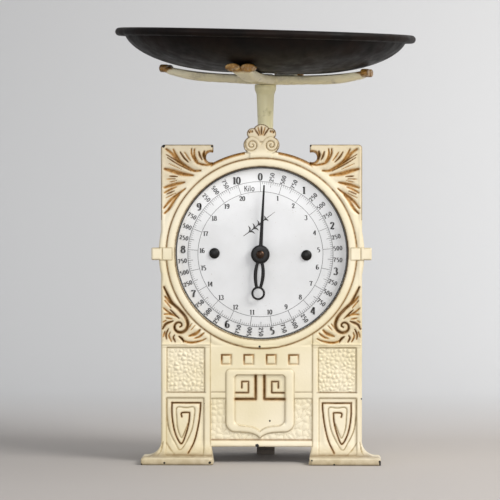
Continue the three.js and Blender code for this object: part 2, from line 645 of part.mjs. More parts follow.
function panSupport(group) {
  const settings = { depth: STAR_T, bevelEnabled: false, curveSegments: 5 };
  const flat = new THREE.ExtrudeGeometry(starOutline(), settings).translate(0, 0, STAR_Z);
  const fine = new TessellateModifier(STAR_EDGE, 10).modify(flat);
  const parts = [solid(bowed(fine)), rod("z", HUB_R, [HUB_Z, STAR_Z + 1], [0, 0], 24)];
  for (let i = 0; i < 4; i += 1) {
    for (const side of [-1, 1]) {
      const span = [TIP_R - TIP_T - 1, TIP_R];
      const lobe = rod("x", LOBE_R, span, [side * LOBE_OUT, tipTop - LOBE_R], 10);
      parts.push(lobe.rotate([0, 0, i * 90]));
    }
  }
  const bore = rod("z", SPIGOT_R + GAP, [HUB_Z - 1, HUB_Z + SPIGOT_T + GAP], [0, 0]);
  const screwHole = rod("z", SHANK_R + GAP, [HUB_Z, STAR_Z + STAR_T + 1], [0, 0], SHANK_SIDES);
  const counterbore = [STAR_Z + STAR_T - SCREW_SINK, STAR_Z + STAR_T + 3];
  const spotFace = rod("z", HEAD_R * 2 + 1, counterbore, [0, 0], 24);
  const star = cut(joined(parts), [bore, screwHole, spotFace]).rotate([0, 0, STAR_TURN]);
  piece("pan_support", star, "cream", group);
  const headZ = counterbore[0] + GAP;
  const head = rod("z", HEAD_R * 2, [headZ, headZ + 1.8], [0, 0]);
  const shank = rod("z", SHANK_R, [HUB_Z - 2, headZ + 0.5], [0, 0], SHANK_SIDES);
  piece("support_screw", head.add(shank), "steel", group);
}

// Moves a group's contents so that the group turns about one height on the column's axis.
function leaningGroup(height) {
  const group = new THREE.Group();
  const inner = new THREE.Group();
  group.position.z = height;
  inner.position.z = -height;
  group.add(inner);
  root.add(group);
  return { group, inner };
}

function dish(group) {
  const profile = [[0, 0]];
  const wallSteps = 8;
  const wallEnd = DISH_R - 2 * BEAD_R - 0.6;
  for (let i = 0; i <= wallSteps; i += 1) {
    const r = DISH_FLAT_R + (wallEnd - DISH_FLAT_R) * Math.sin((i / wallSteps) * Math.PI / 2);
    profile.push([r, dishHeight(r)]);
  }
  const beadZ = DISH_DEPTH - BEAD_R;
  for (let i = 0; i <= 6; i += 1) {
    const turn = radians(-120 + i * 45);
    profile.push([DISH_R - BEAD_R + BEAD_R * Math.cos(turn), beadZ + BEAD_R * Math.sin(turn)]);
  }
  for (let i = wallSteps; i >= 0; i -= 1) {
    const r = DISH_FLAT_R + (wallEnd - DISH_T - DISH_FLAT_R) * Math.sin((i / wallSteps) * Math.PI / 2);
    profile.push([r, dishHeight(r + DISH_T * 0.6) + DISH_T]);
  }
  profile.push([0, DISH_T]);
  piece("dish", moved(turned(profile, 40), 0, 0, dishSeat), "darkSteel", group);
}

// ---- Pointer ----

function pointerHand() {
  const front = POINTER_FRONT;
  const back = front + POINTER_T;
  const needle = outlineOf([
    [-1.45, 0],
    [1.45, 0],
    [0.55, POINTER_TIP - 4],
    [0, POINTER_TIP],
    [-0.55, POINTER_TIP - 4],
  ]);
  const ringTop = POINTER_TAIL - POINTER_RING_R;
  const lensEnd = -ringTop - 2;
  const slotEnd = 1.5 - ringTop;
  const lens = outlineOf([[-1.6, 0], [1.6, 0], [4, -17], [2.6, lensEnd], [-2.6, lensEnd], [-4, -17]]);
  const slot = outlineOf([[0, -POINTER_HUB_R - 2], [1.8, -17], [1.2, slotEnd], [-1.2, slotEnd], [-1.8, -17]]);
  const parts = [
    slab(needle, front, back),
    slab(lens, front, back),
    rod("y", POINTER_HUB_R, [front - 0.4, back], [0, 0], 24),
    rod("y", POINTER_RING_R, [front, back], [0, -POINTER_TAIL], 20),
  ];
  const holes = [
    slab(slot, front - 1, back + 1),
    rod("y", POINTER_RING_R - 1.4, [front - 1, back + 1], [0, -POINTER_TAIL], 16),
    rod("y", SHAFT_R + GAP, [front - 1, back + 1], [0, 0], SHANK_SIDES),
  ];
  const hand = cut(joined(parts), holes).rotate([0, POINTER_TURN, 0]);
  piece("pointer_hand", moved(hand, DIAL_X, 0, DIAL_Z), "black");
  const capFront = front - 0.4 - GAP;
  const cap = [[0, 0], [3.3, 0], [3.1, 1], [1.6, 1.9], [0, 2.1]];
  const dome = moved(turned(cap, 20).rotate([90, 0, 0]), DIAL_X, capFront, DIAL_Z);
  const bore = rod("y", SHAFT_R + GAP, [capFront - 1.2, capFront + 1], [DIAL_X, DIAL_Z], SHANK_SIDES);
  piece("pointer_cap", cut(dome, [bore]), "brass");
  const shaft = rod("y", SHAFT_R, [capFront - 0.8, BRIDGE_Y[1] + 0.5], [DIAL_X, DIAL_Z], 16);
  piece("pointer_shaft", shaft, "steel");
}

// A point on an involute flank, at one radius and mirrored by side.
function flankPoint(radius, baseR, halfAngle, side) {
  const involute = (r) => Math.sqrt((r / baseR) ** 2 - 1) - Math.acos(Math.min(baseR / r, 1));
  const r = Math.max(radius, baseR);
  const turn = side * (halfAngle - (involute(r) - involute(PINION_R)));
  return [radius * Math.cos(turn), radius * Math.sin(turn)];
}

function pinion() {
  const baseR = PINION_R * Math.cos(radians(20));
  const halfAngle = (Math.PI / 2 / PINION_TEETH) - BACKLASH / 2 / PINION_R;
  const radii = [PINION_R - DEDENDUM, PINION_R - 0.15, PINION_R + 0.15, PINION_R + ADDENDUM];
  const points = [];
  for (let i = 0; i < PINION_TEETH; i += 1) {
    // Half a pitch round, so that a tooth space faces the rack tooth at rest.
    const centre = ((i + 0.5) * 2 * Math.PI) / PINION_TEETH;
    const tooth = [
      ...radii.map((r) => flankPoint(r, baseR, halfAngle, -1)),
      ...radii.slice().reverse().map((r) => flankPoint(r, baseR, halfAngle, 1)),
    ];
    for (const [a, b] of tooth) {
      points.push([
        a * Math.cos(centre) - b * Math.sin(centre),
        a * Math.sin(centre) + b * Math.cos(centre),
      ]);
    }
  }
  const wheel = slab(outlineOf(points), ...GEAR_Y);
  const bore = rod("y", SHAFT_R + GAP, [GEAR_Y[0] - 1, GEAR_Y[1] + 1], [0, 0], SHANK_SIDES);
  const turnedWheel = cut(wheel, [bore]).rotate([0, POINTER_TURN, 0]);
  piece("pinion", moved(turnedWheel, DIAL_X, 0, DIAL_Z), "brass");
}

// ---- Links ----

// A link from its pivot on the works plate to a slotted eye on the carrier's pin.
function link(name, pinZ) {
  const longest = Math.hypot(LINK_LENGTH, TRAVEL / 2);
  const slot = new THREE.Shape();
  const slotR = LINK_PIN_R + GAP;
  slot.absarc(LINK_LENGTH, 0, slotR, Math.PI / 2, (3 * Math.PI) / 2);
  slot.absarc(longest, 0, slotR, -Math.PI / 2, Math.PI / 2);
  const parts = [
    rod("y", LINK_EYE_R, LINK_Y, [0, 0], 20),
    rod("y", LINK_EYE_R, LINK_Y, [(LINK_LENGTH + longest) / 2, 0], 20),
    block([0, LINK_LENGTH], LINK_Y, [-3, 3]),
  ];
  const holes = [
    rod("y", LINK_PIN_R + RUN, [LINK_Y[0] - 1, LINK_Y[1] + 1], [0, 0], 24),
    slab(slot, LINK_Y[0] - 1, LINK_Y[1] + 1),
  ];
  const tilt = -THREE.MathUtils.radToDeg(LINK_ANGLE);
  const shape = cut(joined(parts), holes).rotate([0, tilt, 0]);
  piece(name, moved(shape, LINK_PIN_X - LINK_LENGTH, 0, pinZ - TRAVEL / 2), "steel");
}

// ---- Springs and zero adjustment ----

// A coil whose wire runs in to its own axis at both ends.
class Coil extends THREE.Curve {
  constructor(bottom, top, lead) {
    super();
    Object.assign(this, { bottom, top, lead });
  }

  getPoint(t, target = new THREE.Vector3()) {
    const z = this.bottom + (this.top - this.bottom) * t;
    const fromEnd = Math.min(z - this.bottom, this.top - z);
    const spread = THREE.MathUtils.smoothstep(fromEnd, this.lead, this.lead + 4);
    const turn = 2 * Math.PI * SPRING_TURNS * t;
    return target.set(SPRING_R * spread * Math.cos(turn), SPRING_R * spread * Math.sin(turn), z);
  }
}

function spring(name, x) {
  const section = new THREE.Shape();
  section.absarc(0, 0, SPRING_WIRE_R, 0, 2 * Math.PI);
  const bottom = BAR_Z[0] - 1.5;
  const top = HANGER_Z[1] + 1.5;
  const path = new Coil(bottom, top, ARM_T + 2.5);
  const settings = { steps: SPRING_TURNS * 9, curveSegments: 2, extrudePath: path };
  piece(name, moved(solid(new THREE.ExtrudeGeometry(section, settings)), x, ZERO_Y, 0), "steel");
}

function zeroAdjustment() {
  const wire = SPRING_WIRE_R + GAP;
  const barY = [ZERO_Y - 4, ZERO_Y + 4];
  const bar = block([-HANGER_HALF, HANGER_HALF], barY, HANGER_Z);
  const hangerSpan = [HANGER_Z[0] - 1, HANGER_Z[1] + 1];
  const holes = [rod("z", ZERO_SCREW_R + GAP, hangerSpan, [0, ZERO_Y], 16)];
  for (const side of [-1, 1]) holes.push(rod("z", wire, hangerSpan, [side * SPRING_OUT, ZERO_Y], 10));
  piece("spring_hanger", cut(bar, holes), "steel");
  const head = rod("z", ZERO_SCREW_R + 2.5, [HANGER_Z[0] - GAP - 3, HANGER_Z[0] - GAP], [0, ZERO_Y], 6);
  const stem = rod("z", ZERO_SCREW_R, [HANGER_Z[0] - 1, NUT_Z[1] + 1.5], [0, ZERO_Y], 24);
  piece("zero_screw", head.add(stem), "brass");
  const sleeve = rod("z", NUT_SLEEVE_R, [BRACKET_Z[1] + GAP, NUT_Z[0] + 1], [0, ZERO_Y], 18);
  const knob = rod("z", NUT_R, NUT_Z, [0, ZERO_Y], 18);
  const bore = rod("z", ZERO_SCREW_R + RUN, [BRACKET_Z[1], NUT_Z[1] + 1], [0, ZERO_Y], 24);
  piece("zero_nut", cut(sleeve.add(knob), [bore]), "brass");
}

// ---- Housing ----

// The tombstone outline of the cover, inset by a wall.
function archOutline(half, bottom) {
  const outline = new THREE.Shape();
  outline.moveTo(PLATE_X - half, bottom);
  outline.lineTo(PLATE_X + half, bottom);
  outline.absarc(PLATE_X, OPENING_Z, half, 0, Math.PI);
  return outline;
}

function rearCover() {
  const front = PLATE_BACK + GAP;
  const outer = slab(archOutline(COVER_HALF, COVER_BOTTOM), front, COVER_BACK, 16);
  const inside = archOutline(COVER_HALF - COVER_WALL, COVER_BOTTOM - 1);
  const holes = [
    slab(inside, front - 1, COVER_BACK - COVER_WALL, 16),
    rod("z", COLUMN_R + 2.4, [OPENING_Z, OPENING_Z + 2 * COVER_HALF], [0, 0], 24),
    rod("z", NUT_SLEEVE_R + 0.6, [OPENING_Z, OPENING_Z + 2 * COVER_HALF], [0, ZERO_Y]),
  ];
  const y = PLATE_BACK + LUG_DEPTH / 2;
  for (const [side, word] of [[-1, "left"], [1, "right"]]) {
    LUG_ZS.forEach((z, row) => {
      const face = COVER_HALF + GAP;
      const ends = (a, b) => [PLATE_X + side * a, PLATE_X + side * b].sort((p, q) => p - q);
      holes.push(rod("x", SHANK_R + GAP, ends(COVER_HALF - 4, COVER_HALF + 2), [y, z], SHANK_SIDES));
      const head = rod("x", HEAD_R, ends(face, face + HEAD_T), [y, z]);
      const shank = rod("x", SHANK_R, ends(COVER_HALF - 7, face + 0.5), [y, z], SHANK_SIDES);
      piece(`cover_screw_${row ? "upper" : "lower"}_${word}`, head.add(shank), "steel");
    });
  }
  piece("rear_cover", cut(outer, holes), "cream");
}

function columnGrommet() {
  const seat = OPENING_Z + COVER_HALF + GAP;
  const flange = rod("z", COLUMN_R + 3.6, [seat, seat + 1.6], [0, 0], 24);
  const body = rod("z", COLUMN_R + 2, [seat - 4, seat + 1], [0, 0], 24);
  const bore = rod("z", COLUMN_R + 0.7, [seat - 5, seat + 3], [0, 0], 24);
  piece("column_grommet", cut(flange.add(body), [bore]), "brass");
}

function basePlate() {
  const inside = COVER_HALF - COVER_WALL - GAP;
  const ys = [PLATE_BACK + GAP, COVER_BACK - COVER_WALL - GAP];
  const zs = [COVER_BOTTOM, COVER_BOTTOM + BASE_T];
  const plate = block([PLATE_X - inside, PLATE_X + inside], ys, zs);
  const through = [zs[0] - 1, zs[1] + 1];
  const screwY_ = PLATE_BACK + LUG_DEPTH / 2;
  const holes = [];
  for (const [side, word] of [[-1, "left"], [1, "right"]]) {
    const at = [PLATE_X + side * BASE_SCREW_OUT, screwY_];
    holes.push(rod("z", SHANK_R + GAP, through, at, SHANK_SIDES));
    const head = rod("z", HEAD_R, [zs[0] - GAP - HEAD_T, zs[0] - GAP], at);
    const shank = rod("z", SHANK_R, [zs[0] - 1, zs[1] + 6], at, SHANK_SIDES);
    piece(`base_screw_${word}`, head.add(shank), "steel");
  }
  const legScrews = [LEG_Y[0] - 12, LEG_Y[0] - 3];
  legScrews.forEach((y) => holes.push(rod("z", SHANK_R + GAP, through, [LEG_X, y], SHANK_SIDES)));
  piece("base_plate", cut(plate, holes), "black");
  rearLeg(legScrews);
}

function rearLeg(screwYs) {
  const across = [LEG_X - LEG_HALF, LEG_X + LEG_HALF];
  const top = COVER_BOTTOM - GAP;
  const foot_ = block(across, LEG_Y, [0, 4]);
  const stem = block(across, [LEG_Y[0] + 3, LEG_Y[1]], [3, top]);
  const flange = block(across, [LEG_Y[0] - 16, LEG_Y[1]], [top - 3.5, top]);
  const holes = screwYs.map((y) => rod("z", SHANK_R + GAP, [top - 6, top + 1], [LEG_X, y], SHANK_SIDES));
  piece("rear_leg", cut(joined([foot_, stem, flange]), holes), "black");
  screwYs.forEach((y, i) => {
    const seat = top - 3.5 - GAP;
    const head = rod("z", HEAD_R, [seat - HEAD_T, seat], [LEG_X, y]);
    const shank = rod("z", SHANK_R, [seat - 1, COVER_BOTTOM + BASE_T], [LEG_X, y], SHANK_SIDES);
    piece(`rear_leg_screw_${i ? "back" : "front"}`, head.add(shank), "steel");
  });
}

// ---- Assembly ----

frontPlate();
dial();
worksPlate();
worksPillars();
bridge();
bush("front_bush", WORKS_FRONT, WORKS_BACK);
bush("rear_bush", ...BRIDGE_Y);
linkPivots();
hangerBracket();
basePlate();
rearCover();
columnGrommet();

column();
carrier(rack());
carrierPins();
const support = leaningGroup(STAR_Z);
support.group.rotation.y = radians(PAN_LEAN);
panSupport(support.inner);
const seated = leaningGroup(dishSeat + DISH_DEPTH - BEAD_R);
seated.group.rotation.set(radians(DISH_NOD), radians(PAN_LEAN), 0);
dish(seated.inner);

pointerHand();
pinion();
link("upper_link", LINK_PIN_ZS[0]);
link("lower_link", LINK_PIN_ZS[1]);
spring("spring_left", -SPRING_OUT);
spring("spring_right", SPRING_OUT);
zeroAdjustment();

export default root;
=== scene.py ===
# %% [markdown]
# # A dial kitchen scale with a cast-iron front
#
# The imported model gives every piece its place. This script makes the visible surfaces: a relief casting,
# a printed enamel dial, a spun dish and the works behind. Shapes are worked out with numpy as functions
# of two parameters, so each one can be read as a formula. Lengths in the shape code are millimetres, and
# are divided by 1000 when a mesh is made, because the scene is in metres.

# %% Load the frame
import math

import bpy
import numpy as np
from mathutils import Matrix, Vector
from mathutils.geometry import tessellate_polygon


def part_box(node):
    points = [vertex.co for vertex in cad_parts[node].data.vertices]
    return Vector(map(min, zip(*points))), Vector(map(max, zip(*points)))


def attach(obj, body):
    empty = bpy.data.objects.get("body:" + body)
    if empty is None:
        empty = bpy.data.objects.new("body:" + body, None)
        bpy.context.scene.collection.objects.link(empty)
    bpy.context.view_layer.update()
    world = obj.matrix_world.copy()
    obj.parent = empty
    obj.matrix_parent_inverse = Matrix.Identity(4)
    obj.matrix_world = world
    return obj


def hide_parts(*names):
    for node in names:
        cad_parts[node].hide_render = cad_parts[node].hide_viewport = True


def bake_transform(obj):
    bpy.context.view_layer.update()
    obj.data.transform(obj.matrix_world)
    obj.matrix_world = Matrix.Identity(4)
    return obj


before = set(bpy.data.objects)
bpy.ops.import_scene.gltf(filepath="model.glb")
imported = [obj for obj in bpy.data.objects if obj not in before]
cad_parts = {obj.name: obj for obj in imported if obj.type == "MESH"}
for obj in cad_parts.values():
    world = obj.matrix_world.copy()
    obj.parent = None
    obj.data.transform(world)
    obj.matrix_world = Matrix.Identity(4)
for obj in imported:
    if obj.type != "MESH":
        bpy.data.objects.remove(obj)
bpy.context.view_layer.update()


def box_mm(node):
    """A CAD node's lowest and highest corner, in millimetres."""
    low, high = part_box(node)
    return np.array(low) * 1000, np.array(high) * 1000


def middle_mm(node):
    """The middle of a CAD node's box, in millimetres."""
    low, high = box_mm(node)
    return (low + high) / 2


# %% [markdown]
# ## Meshes from arrays
#
# A mesh is a table of points and a table of faces. Most pieces here are a grid of points bent into shape,
# so one helper lists the faces of a grid and joins its ends where the shape closes on itself.


# %% Mesh helpers
def make_mesh(name, points, faces, body, smooth=True):
    """Puts points (n x 3, millimetres) and faces into a new object that rides on a body, if one is named."""
    mesh = bpy.data.meshes.new(name)
    mesh.from_pydata((np.asarray(points, float) / 1000).tolist(), [], np.asarray(faces).tolist()
                     if isinstance(faces, np.ndarray) else faces)
    mesh.update()
    mesh.polygons.foreach_set("use_smooth", np.full(len(mesh.polygons), smooth))
    piece = bpy.data.objects.new(name, mesh)
    bpy.context.scene.collection.objects.link(piece)
    if body:
        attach(piece, body)
    print(f"{name}: {len(mesh.vertices)} points, {len(mesh.polygons)} faces")
    return piece


def grid_faces(rows, columns, wrap_rows=False, wrap_columns=False, start=0):
    """The quads of a rows x columns grid; a wrapped way joins its last line to its first."""
    i = np.arange(rows if wrap_rows else rows - 1)[:, None]
    j = np.arange(columns if wrap_columns else columns - 1)[None, :]
    i2, j2 = (i + 1) % rows, (j + 1) % columns
    corners = [i * columns + j, i * columns + j2, i2 * columns + j2, i2 * columns + j]
    return np.stack([np.broadcast_to(c, (len(i), j.shape[1])) for c in corners], -1).reshape(-1, 4) + start


def store(piece, name, values):
    """Keeps a number, or a row of three, for each point of a piece under a name that a material can read."""
    values = np.asarray(values, "f")
    kind, field = ("FLOAT_VECTOR", "vector") if values.ndim == 2 else ("FLOAT", "value")
    piece.data.attributes.new(name, kind, "POINT").data.foreach_set(field, values.ravel())


def shade_by_angle(piece, degrees=35):
    """Smooth shading, broken where two faces meet at more than an angle."""
    piece.data.set_sharp_from_angle(angle=math.radians(degrees))


def smoothstep(low, high, x):
    """0 below low, 1 above high, and 3t^2 - 2t^3 between."""
    t = np.clip((x - low) / (high - low), 0, 1)
    return t * t * (3 - 2 * t)


# %% [markdown]
# ## Turned pieces
#
# A turned piece is a profile of (radius, height) points carried round an axis. The profile starts and
# ends on the axis, and the points there are single, so the surface is closed at both poles.


# %% Turning
def turned(name, profile, body, segments=64, centre=(0, 0, 0), axis="z", smooth=True):
    """A profile (k x 2) carried round Z: x = r cos a, y = r sin a. For axis y the height runs along -Y."""
    profile = np.asarray(profile, float)
    angle = np.linspace(0, 2 * math.pi, segments, endpoint=False)
    ring = profile[1:-1]
    r, z = ring[:, 0][:, None], ring[:, 1][:, None]
    x, y = r * np.cos(angle), r * np.sin(angle)
    points = np.stack([x, y, np.broadcast_to(z, x.shape)], -1).reshape(-1, 3)
    points = np.vstack([points, [0, 0, profile[0, 1]], [0, 0, profile[-1, 1]]])
    rows = len(ring)
    faces = grid_faces(rows, segments, wrap_columns=True).tolist()
    j = np.arange(segments)
    k = (j + 1) % segments
    top = (rows - 1) * segments
    faces += np.stack([k, j, np.full(segments, rows * segments)], -1).tolist()
    faces += np.stack([top + j, top + k, np.full(segments, rows * segments + 1)], -1).tolist()
    if axis == "y":
        points = np.stack([points[:, 0], -points[:, 2], points[:, 1]], -1)
    if axis == "x":
        points = np.stack([points[:, 2], points[:, 0], points[:, 1]], -1)
    piece = make_mesh(name, points + np.asarray(centre, float), faces, body, smooth)
    shade_by_angle(piece)
    return piece


def rounded(points, radius, steps=4):
    """An open profile whose inner corners become quadratic curves that start radius away from them."""
    points = np.asarray(points, float)
    out = [points[0]]
    for a, b, c in zip(points[:-2], points[1:-1], points[2:]):
        r1 = min(radius, 0.45 * np.linalg.norm(b - a))
        r2 = min(radius, 0.45 * np.linalg.norm(c - b))
        start = b + (a - b) / np.linalg.norm(a - b) * r1
        end = b + (c - b) / np.linalg.norm(c - b) * r2
        for t in np.linspace(0, 1, steps):
            out.append((1 - t) ** 2 * start + 2 * t * (1 - t) * b + t * t * end)
    out.append(points[-1])
    return np.array(out)


# %% [markdown]
# ## Materials
#
# One helper adds a shader node with its settings and links. Colours are written as the sRGB hex that a
# paint chart would give, and one function turns them into the linear values that the renderer works in.


# %% Material helpers
def linear(hex_colour):
    """sRGB hex to linear RGBA."""
    srgb = np.array([int(hex_colour[i:i + 2], 16) for i in (1, 3, 5)]) / 255
    rgb = np.where(srgb <= 0.04045, srgb / 12.92, ((srgb + 0.055) / 1.055) ** 2.4)
    return (*rgb.tolist(), 1.0)


def add(tree, kind, inputs=None, **settings):
    """A node of one kind with settings; inputs maps a socket's name or number to a value or a socket."""
    made = tree.nodes.new(kind)
    for key, value in settings.items():
        setattr(made, key, value)
    for key, value in (inputs or {}).items():
        socket = made.inputs[key]
        if isinstance(value, bpy.types.NodeSocket):
            tree.links.new(value, socket)
        else:
            socket.default_value = value
    return made


def new_material(name):
    """A material with an empty tree, its output node and its Principled shader."""
    material = bpy.data.materials.new(name)
    material.use_nodes = True
    tree = material.node_tree
    tree.nodes.clear()
    shader = add(tree, "ShaderNodeBsdfPrincipled")
    add(tree, "ShaderNodeOutputMaterial", {"Surface": shader.outputs[0]})
    return material, tree, shader


def noise(tree, scale, detail=2.0, roughness=0.5, vector=None):
    """Noise on Object coordinates; scale is cycles per metre."""
    place = vector or add(tree, "ShaderNodeTexCoord").outputs["Object"]
    return add(tree, "ShaderNodeTexNoise", {"Vector": place, "Scale": scale, "Detail": detail,
                                            "Roughness": roughness}).outputs["Fac"]


def ramp(tree, value, stops):
    """A colour ramp from (position, colour) stops."""
    made = add(tree, "ShaderNodeValToRGB", {"Fac": value})
    elements = made.color_ramp.elements
    while len(elements) < len(stops):
        elements.new(0.5)
    for element, (position, colour) in zip(elements, stops):
        element.position = position
        element.color = linear(colour) if isinstance(colour, str) else (colour, colour, colour, 1)
    return made.outputs["Color"]


def mix(tree, factor, a, b, blend="MIX"):
    """One colour mixed over another."""
    made = add(tree, "ShaderNodeMix", data_type="RGBA", blend_type=blend)
    for index, value in ((0, factor), (6, a), (7, b)):
        if isinstance(value, bpy.types.NodeSocket):
            tree.links.new(value, made.inputs[index])
        else:
            made.inputs[index].default_value = value
    return made.outputs[2]


def maths(tree, operation, a, b=0.0, clamp=False):
    """One arithmetic step."""
    made = add(tree, "ShaderNodeMath", {0: a, 1: b}, operation=operation, use_clamp=clamp)
    return made.outputs[0]


def bump(tree, shader, height, distance, strength=0.3):
    """Bumps the shader's normal by a height pattern; distance is in metres."""
    made = add(tree, "ShaderNodeBump", {"Height": height, "Distance": distance, "Strength": strength})
    tree.links.new(made.outputs[0], shader.inputs["Normal"])
    return made


def finish_piece(piece, material, slot, *replaced):
    """Gives a piece its material and hides the CAD nodes that it stands for; slot is not used."""
    piece.data.materials.clear()
    piece.data.materials.append(material)
    if replaced:
        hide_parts(*replaced)
    return piece


# %% [markdown]
# ## Cream oil paint with a gold-brown wash and painted shade
#
# The casting was painted cream, then a brown glaze was rubbed into the hollows and wiped off the high
# parts. Where the glaze lies is a matter of the relief, so the mesh carries three masks as an attribute:
# x is the warm gold wash, y the dark brown line in the deep grooves and z a faint olive darkening: painted
# shade in the creases and grooves, beside every raised edge, on the feet and on the walls, and a faint
# film of glaze in the leafy corners. The material mixes the colours by these masks and breaks their edges
# up with noise of about 1 mm. Old oil paint is semi-gloss, with roughness near 0.4, and has brush ripples
# about 2 mm apart. Chips down to the black iron follow a fourth mask.


# %% Casting paint
def casting_paint():
    """Cream paint, wash, painted shade and chips, driven by the attributes wash and chip."""
    material, tree, shader = new_material("antiqued_cream_oil_paint_and_painted_shade")
    coords = add(tree, "ShaderNodeTexCoord").outputs["Object"]
    tint = ramp(tree, noise(tree, 14, 3, vector=coords),
                [(0.3, "#DCD0AC"), (0.52, "#E6DBBE"), (0.75, "#ECE3CC")])
    wash = add(tree, "ShaderNodeAttribute", attribute_name="wash").outputs["Vector"]
    gold, brown, darkening = add(tree, "ShaderNodeSeparateXYZ", {0: wash}).outputs
    broken = noise(tree, 900, 3, 0.6, coords)
    patchy = ramp(tree, noise(tree, 160, 2, 0.6, coords), [(0.3, 0.7), (0.6, 1.0)])
    strong = maths(tree, "MULTIPLY", brown, 1.5, True)
    gold_mask = maths(tree, "MULTIPLY", gold, maths(tree, "ADD", broken, 0.7), True)
    gold_tone = ramp(tree, noise(tree, 350, 2, 0.6, coords),
                     [(0.3, "#875B22"), (0.5, "#B38343"), (0.8, "#CDA668")])
    # The olive darkening colour is painted shade, laid where the darkening mask is high.
    colour = mix(tree, maths(tree, "MULTIPLY", darkening, patchy, True), tint, linear("#98835A"))
    colour = mix(tree, gold_mask, colour, gold_tone)
    colour = mix(tree, maths(tree, "MULTIPLY", strong, patchy, True), colour, linear("#5C3A02"))
    chip = add(tree, "ShaderNodeAttribute", attribute_name="chip").outputs["Fac"]
    edge = maths(tree, "ADD", chip, maths(tree, "MULTIPLY", maths(tree, "SUBTRACT", broken, 0.5), 0.5))
    chipped = ramp(tree, edge, [(0.48, 0.0), (0.54, 1.0)])
    colour = mix(tree, chipped, colour, linear("#1B1714"))
    tree.links.new(colour, shader.inputs["Base Color"])
    rough = ramp(tree, noise(tree, 90, 2, vector=coords), [(0.3, 0.34), (0.7, 0.5)])
    tree.links.new(rough, shader.inputs["Roughness"])
    shader.inputs["IOR"].default_value = 1.48
    shader.inputs["Specular IOR Level"].default_value = 0.32
    ripple = maths(tree, "ADD", noise(tree, 480, 2, 0.5, coords), maths(tree, "MULTIPLY", chipped, -1.5))
    bump(tree, shader, ripple, 0.00025, 0.35)
    return material


CASTING_PAINT = casting_paint()
print("material", CASTING_PAINT.name)

# %% [markdown]
# ## The casting's outline as a distance
#
# A signed distance is negative inside a shape and positive outside it, and it grows by 1 mm per
# millimetre. Shapes join by taking the smaller distance and are cut by taking the larger of one and minus
# the other. The whole outline of the front (plate, corner blocks, crest, tabs, feet and dial opening) is
# one such function, so its edge can be found exactly and every ridge that follows an edge is a function
# of the same number.

# %% Casting dimensions
plate_low, plate_high = box_mm("front_plate")
dial_middle = middle_mm("dial_plate")
CENTRE_X = (plate_low[0] + plate_high[0]) / 2
OPENING_Z = dial_middle[2] + 0.9
OPENING_R = 71.05
GROOVE_R = 78.2  # brown line between the two mouldings of the ring
RING_R = 84.5
PLATE_HALF = 82.6
PLATE_TOP = 261.7
PLATE_FRONT = -40.0
PLATE_BACK = -35.0
FOOT_REACH = 22.0
SWEEP_Z = 18.5
LIP_Z = 5.6
FOOT_SLAB = 6.4
FOOT_CURVE = 11.5
BLOCK_IN = 39.6
APRON_Z = 13.3
print("casting centre", CENTRE_X, "opening height", OPENING_Z)


def box_distance(u, v, u0, u1, v0, v1, corner=0.0):
    """Distance to a rectangle with rounded corners."""
    du = np.abs(u - (u0 + u1) / 2) - (u1 - u0) / 2 + corner
    dv = np.abs(v - (v0 + v1) / 2) - (v1 - v0) / 2 + corner
    outside = np.hypot(np.maximum(du, 0), np.maximum(dv, 0))
    return outside + np.minimum(np.maximum(du, dv), 0) - corner


def disc_distance(u, v, centre_u, centre_v, radius):
    """Distance to a disc."""
    return np.hypot(u - centre_u, v - centre_v) - radius


def crest_distance(a, v):
    """The shell's three lobes and the two volutes under it."""
    shell = np.minimum(disc_distance(a, v, 0, 271.2, 7.4), disc_distance(a, v, 7.4, 270.7, 4.6))
    return np.minimum(shell, disc_distance(a, v, 7.8, 261.4, 7.0))


def foot_distance(a, v):
    """The outside of a foot: a low slab to 98 mm, joined to the upright edge by a concave quarter circle."""
    slab = box_distance(a, v, 40, 98, -4, FOOT_SLAB, 2.4)
    centre_a, centre_v = PLATE_HALF + FOOT_CURVE, FOOT_SLAB + FOOT_CURVE
    corner = box_distance(a, v, 70, centre_a, -4, centre_v)
    curve = np.maximum(corner, -disc_distance(a, v, centre_a, centre_v, FOOT_CURVE))
    return np.minimum(np.minimum(a - PLATE_HALF, slab), curve)


def outline_distance(u, v):
    """Distance to the edge of the whole casting, seen from the front; a is the distance from its middle."""
    a = np.abs(u)
    body = np.maximum(np.where(v < 30, foot_distance(a, v), a - PLATE_HALF), np.maximum(v - PLATE_TOP, -v))
    corner = np.hypot(np.maximum(a - PLATE_HALF + 3, 0), np.maximum(v - PLATE_TOP + 3, 0)) - 3
    body = np.where(v > OPENING_Z, np.maximum(body, corner), body)
    top_gap = box_distance(a, v, -BLOCK_IN, BLOCK_IN, OPENING_Z + 40, PLATE_TOP + 30)
    body = np.maximum(body, -top_gap)
    body = np.minimum(body, disc_distance(a, v, 0, OPENING_Z, RING_R))
    body = np.maximum(body, -disc_distance(a, v, BLOCK_IN + 2.0, 251.3, 4.0))
    body = np.minimum(body, crest_distance(a, v))
    body = np.minimum(body, box_distance(a, v, -6, 6, 252, 268))
    body = np.minimum(body, box_distance(a, v, 60, 90.5, 166.9, 177.0, 0.8))
    inner = 39 + 2 * np.clip(v / APRON_Z, 0, 1)
    gap = np.maximum(a - inner, v - APRON_Z)
    body = np.maximum(body, -gap)
    return np.maximum(body, -disc_distance(u, v, 0, OPENING_Z, OPENING_R))


# %% [markdown]
# ## Strokes
#
# Leaves, volutes and line ornament are all strokes: a smooth curve through a few points, with a width
# that tapers towards its ends. The distance from every point of the casting to the curve gives the
# groove's cross-section. The ornament is the same on both halves, so a stroke is given once, by how far
# out from the centre line it is.


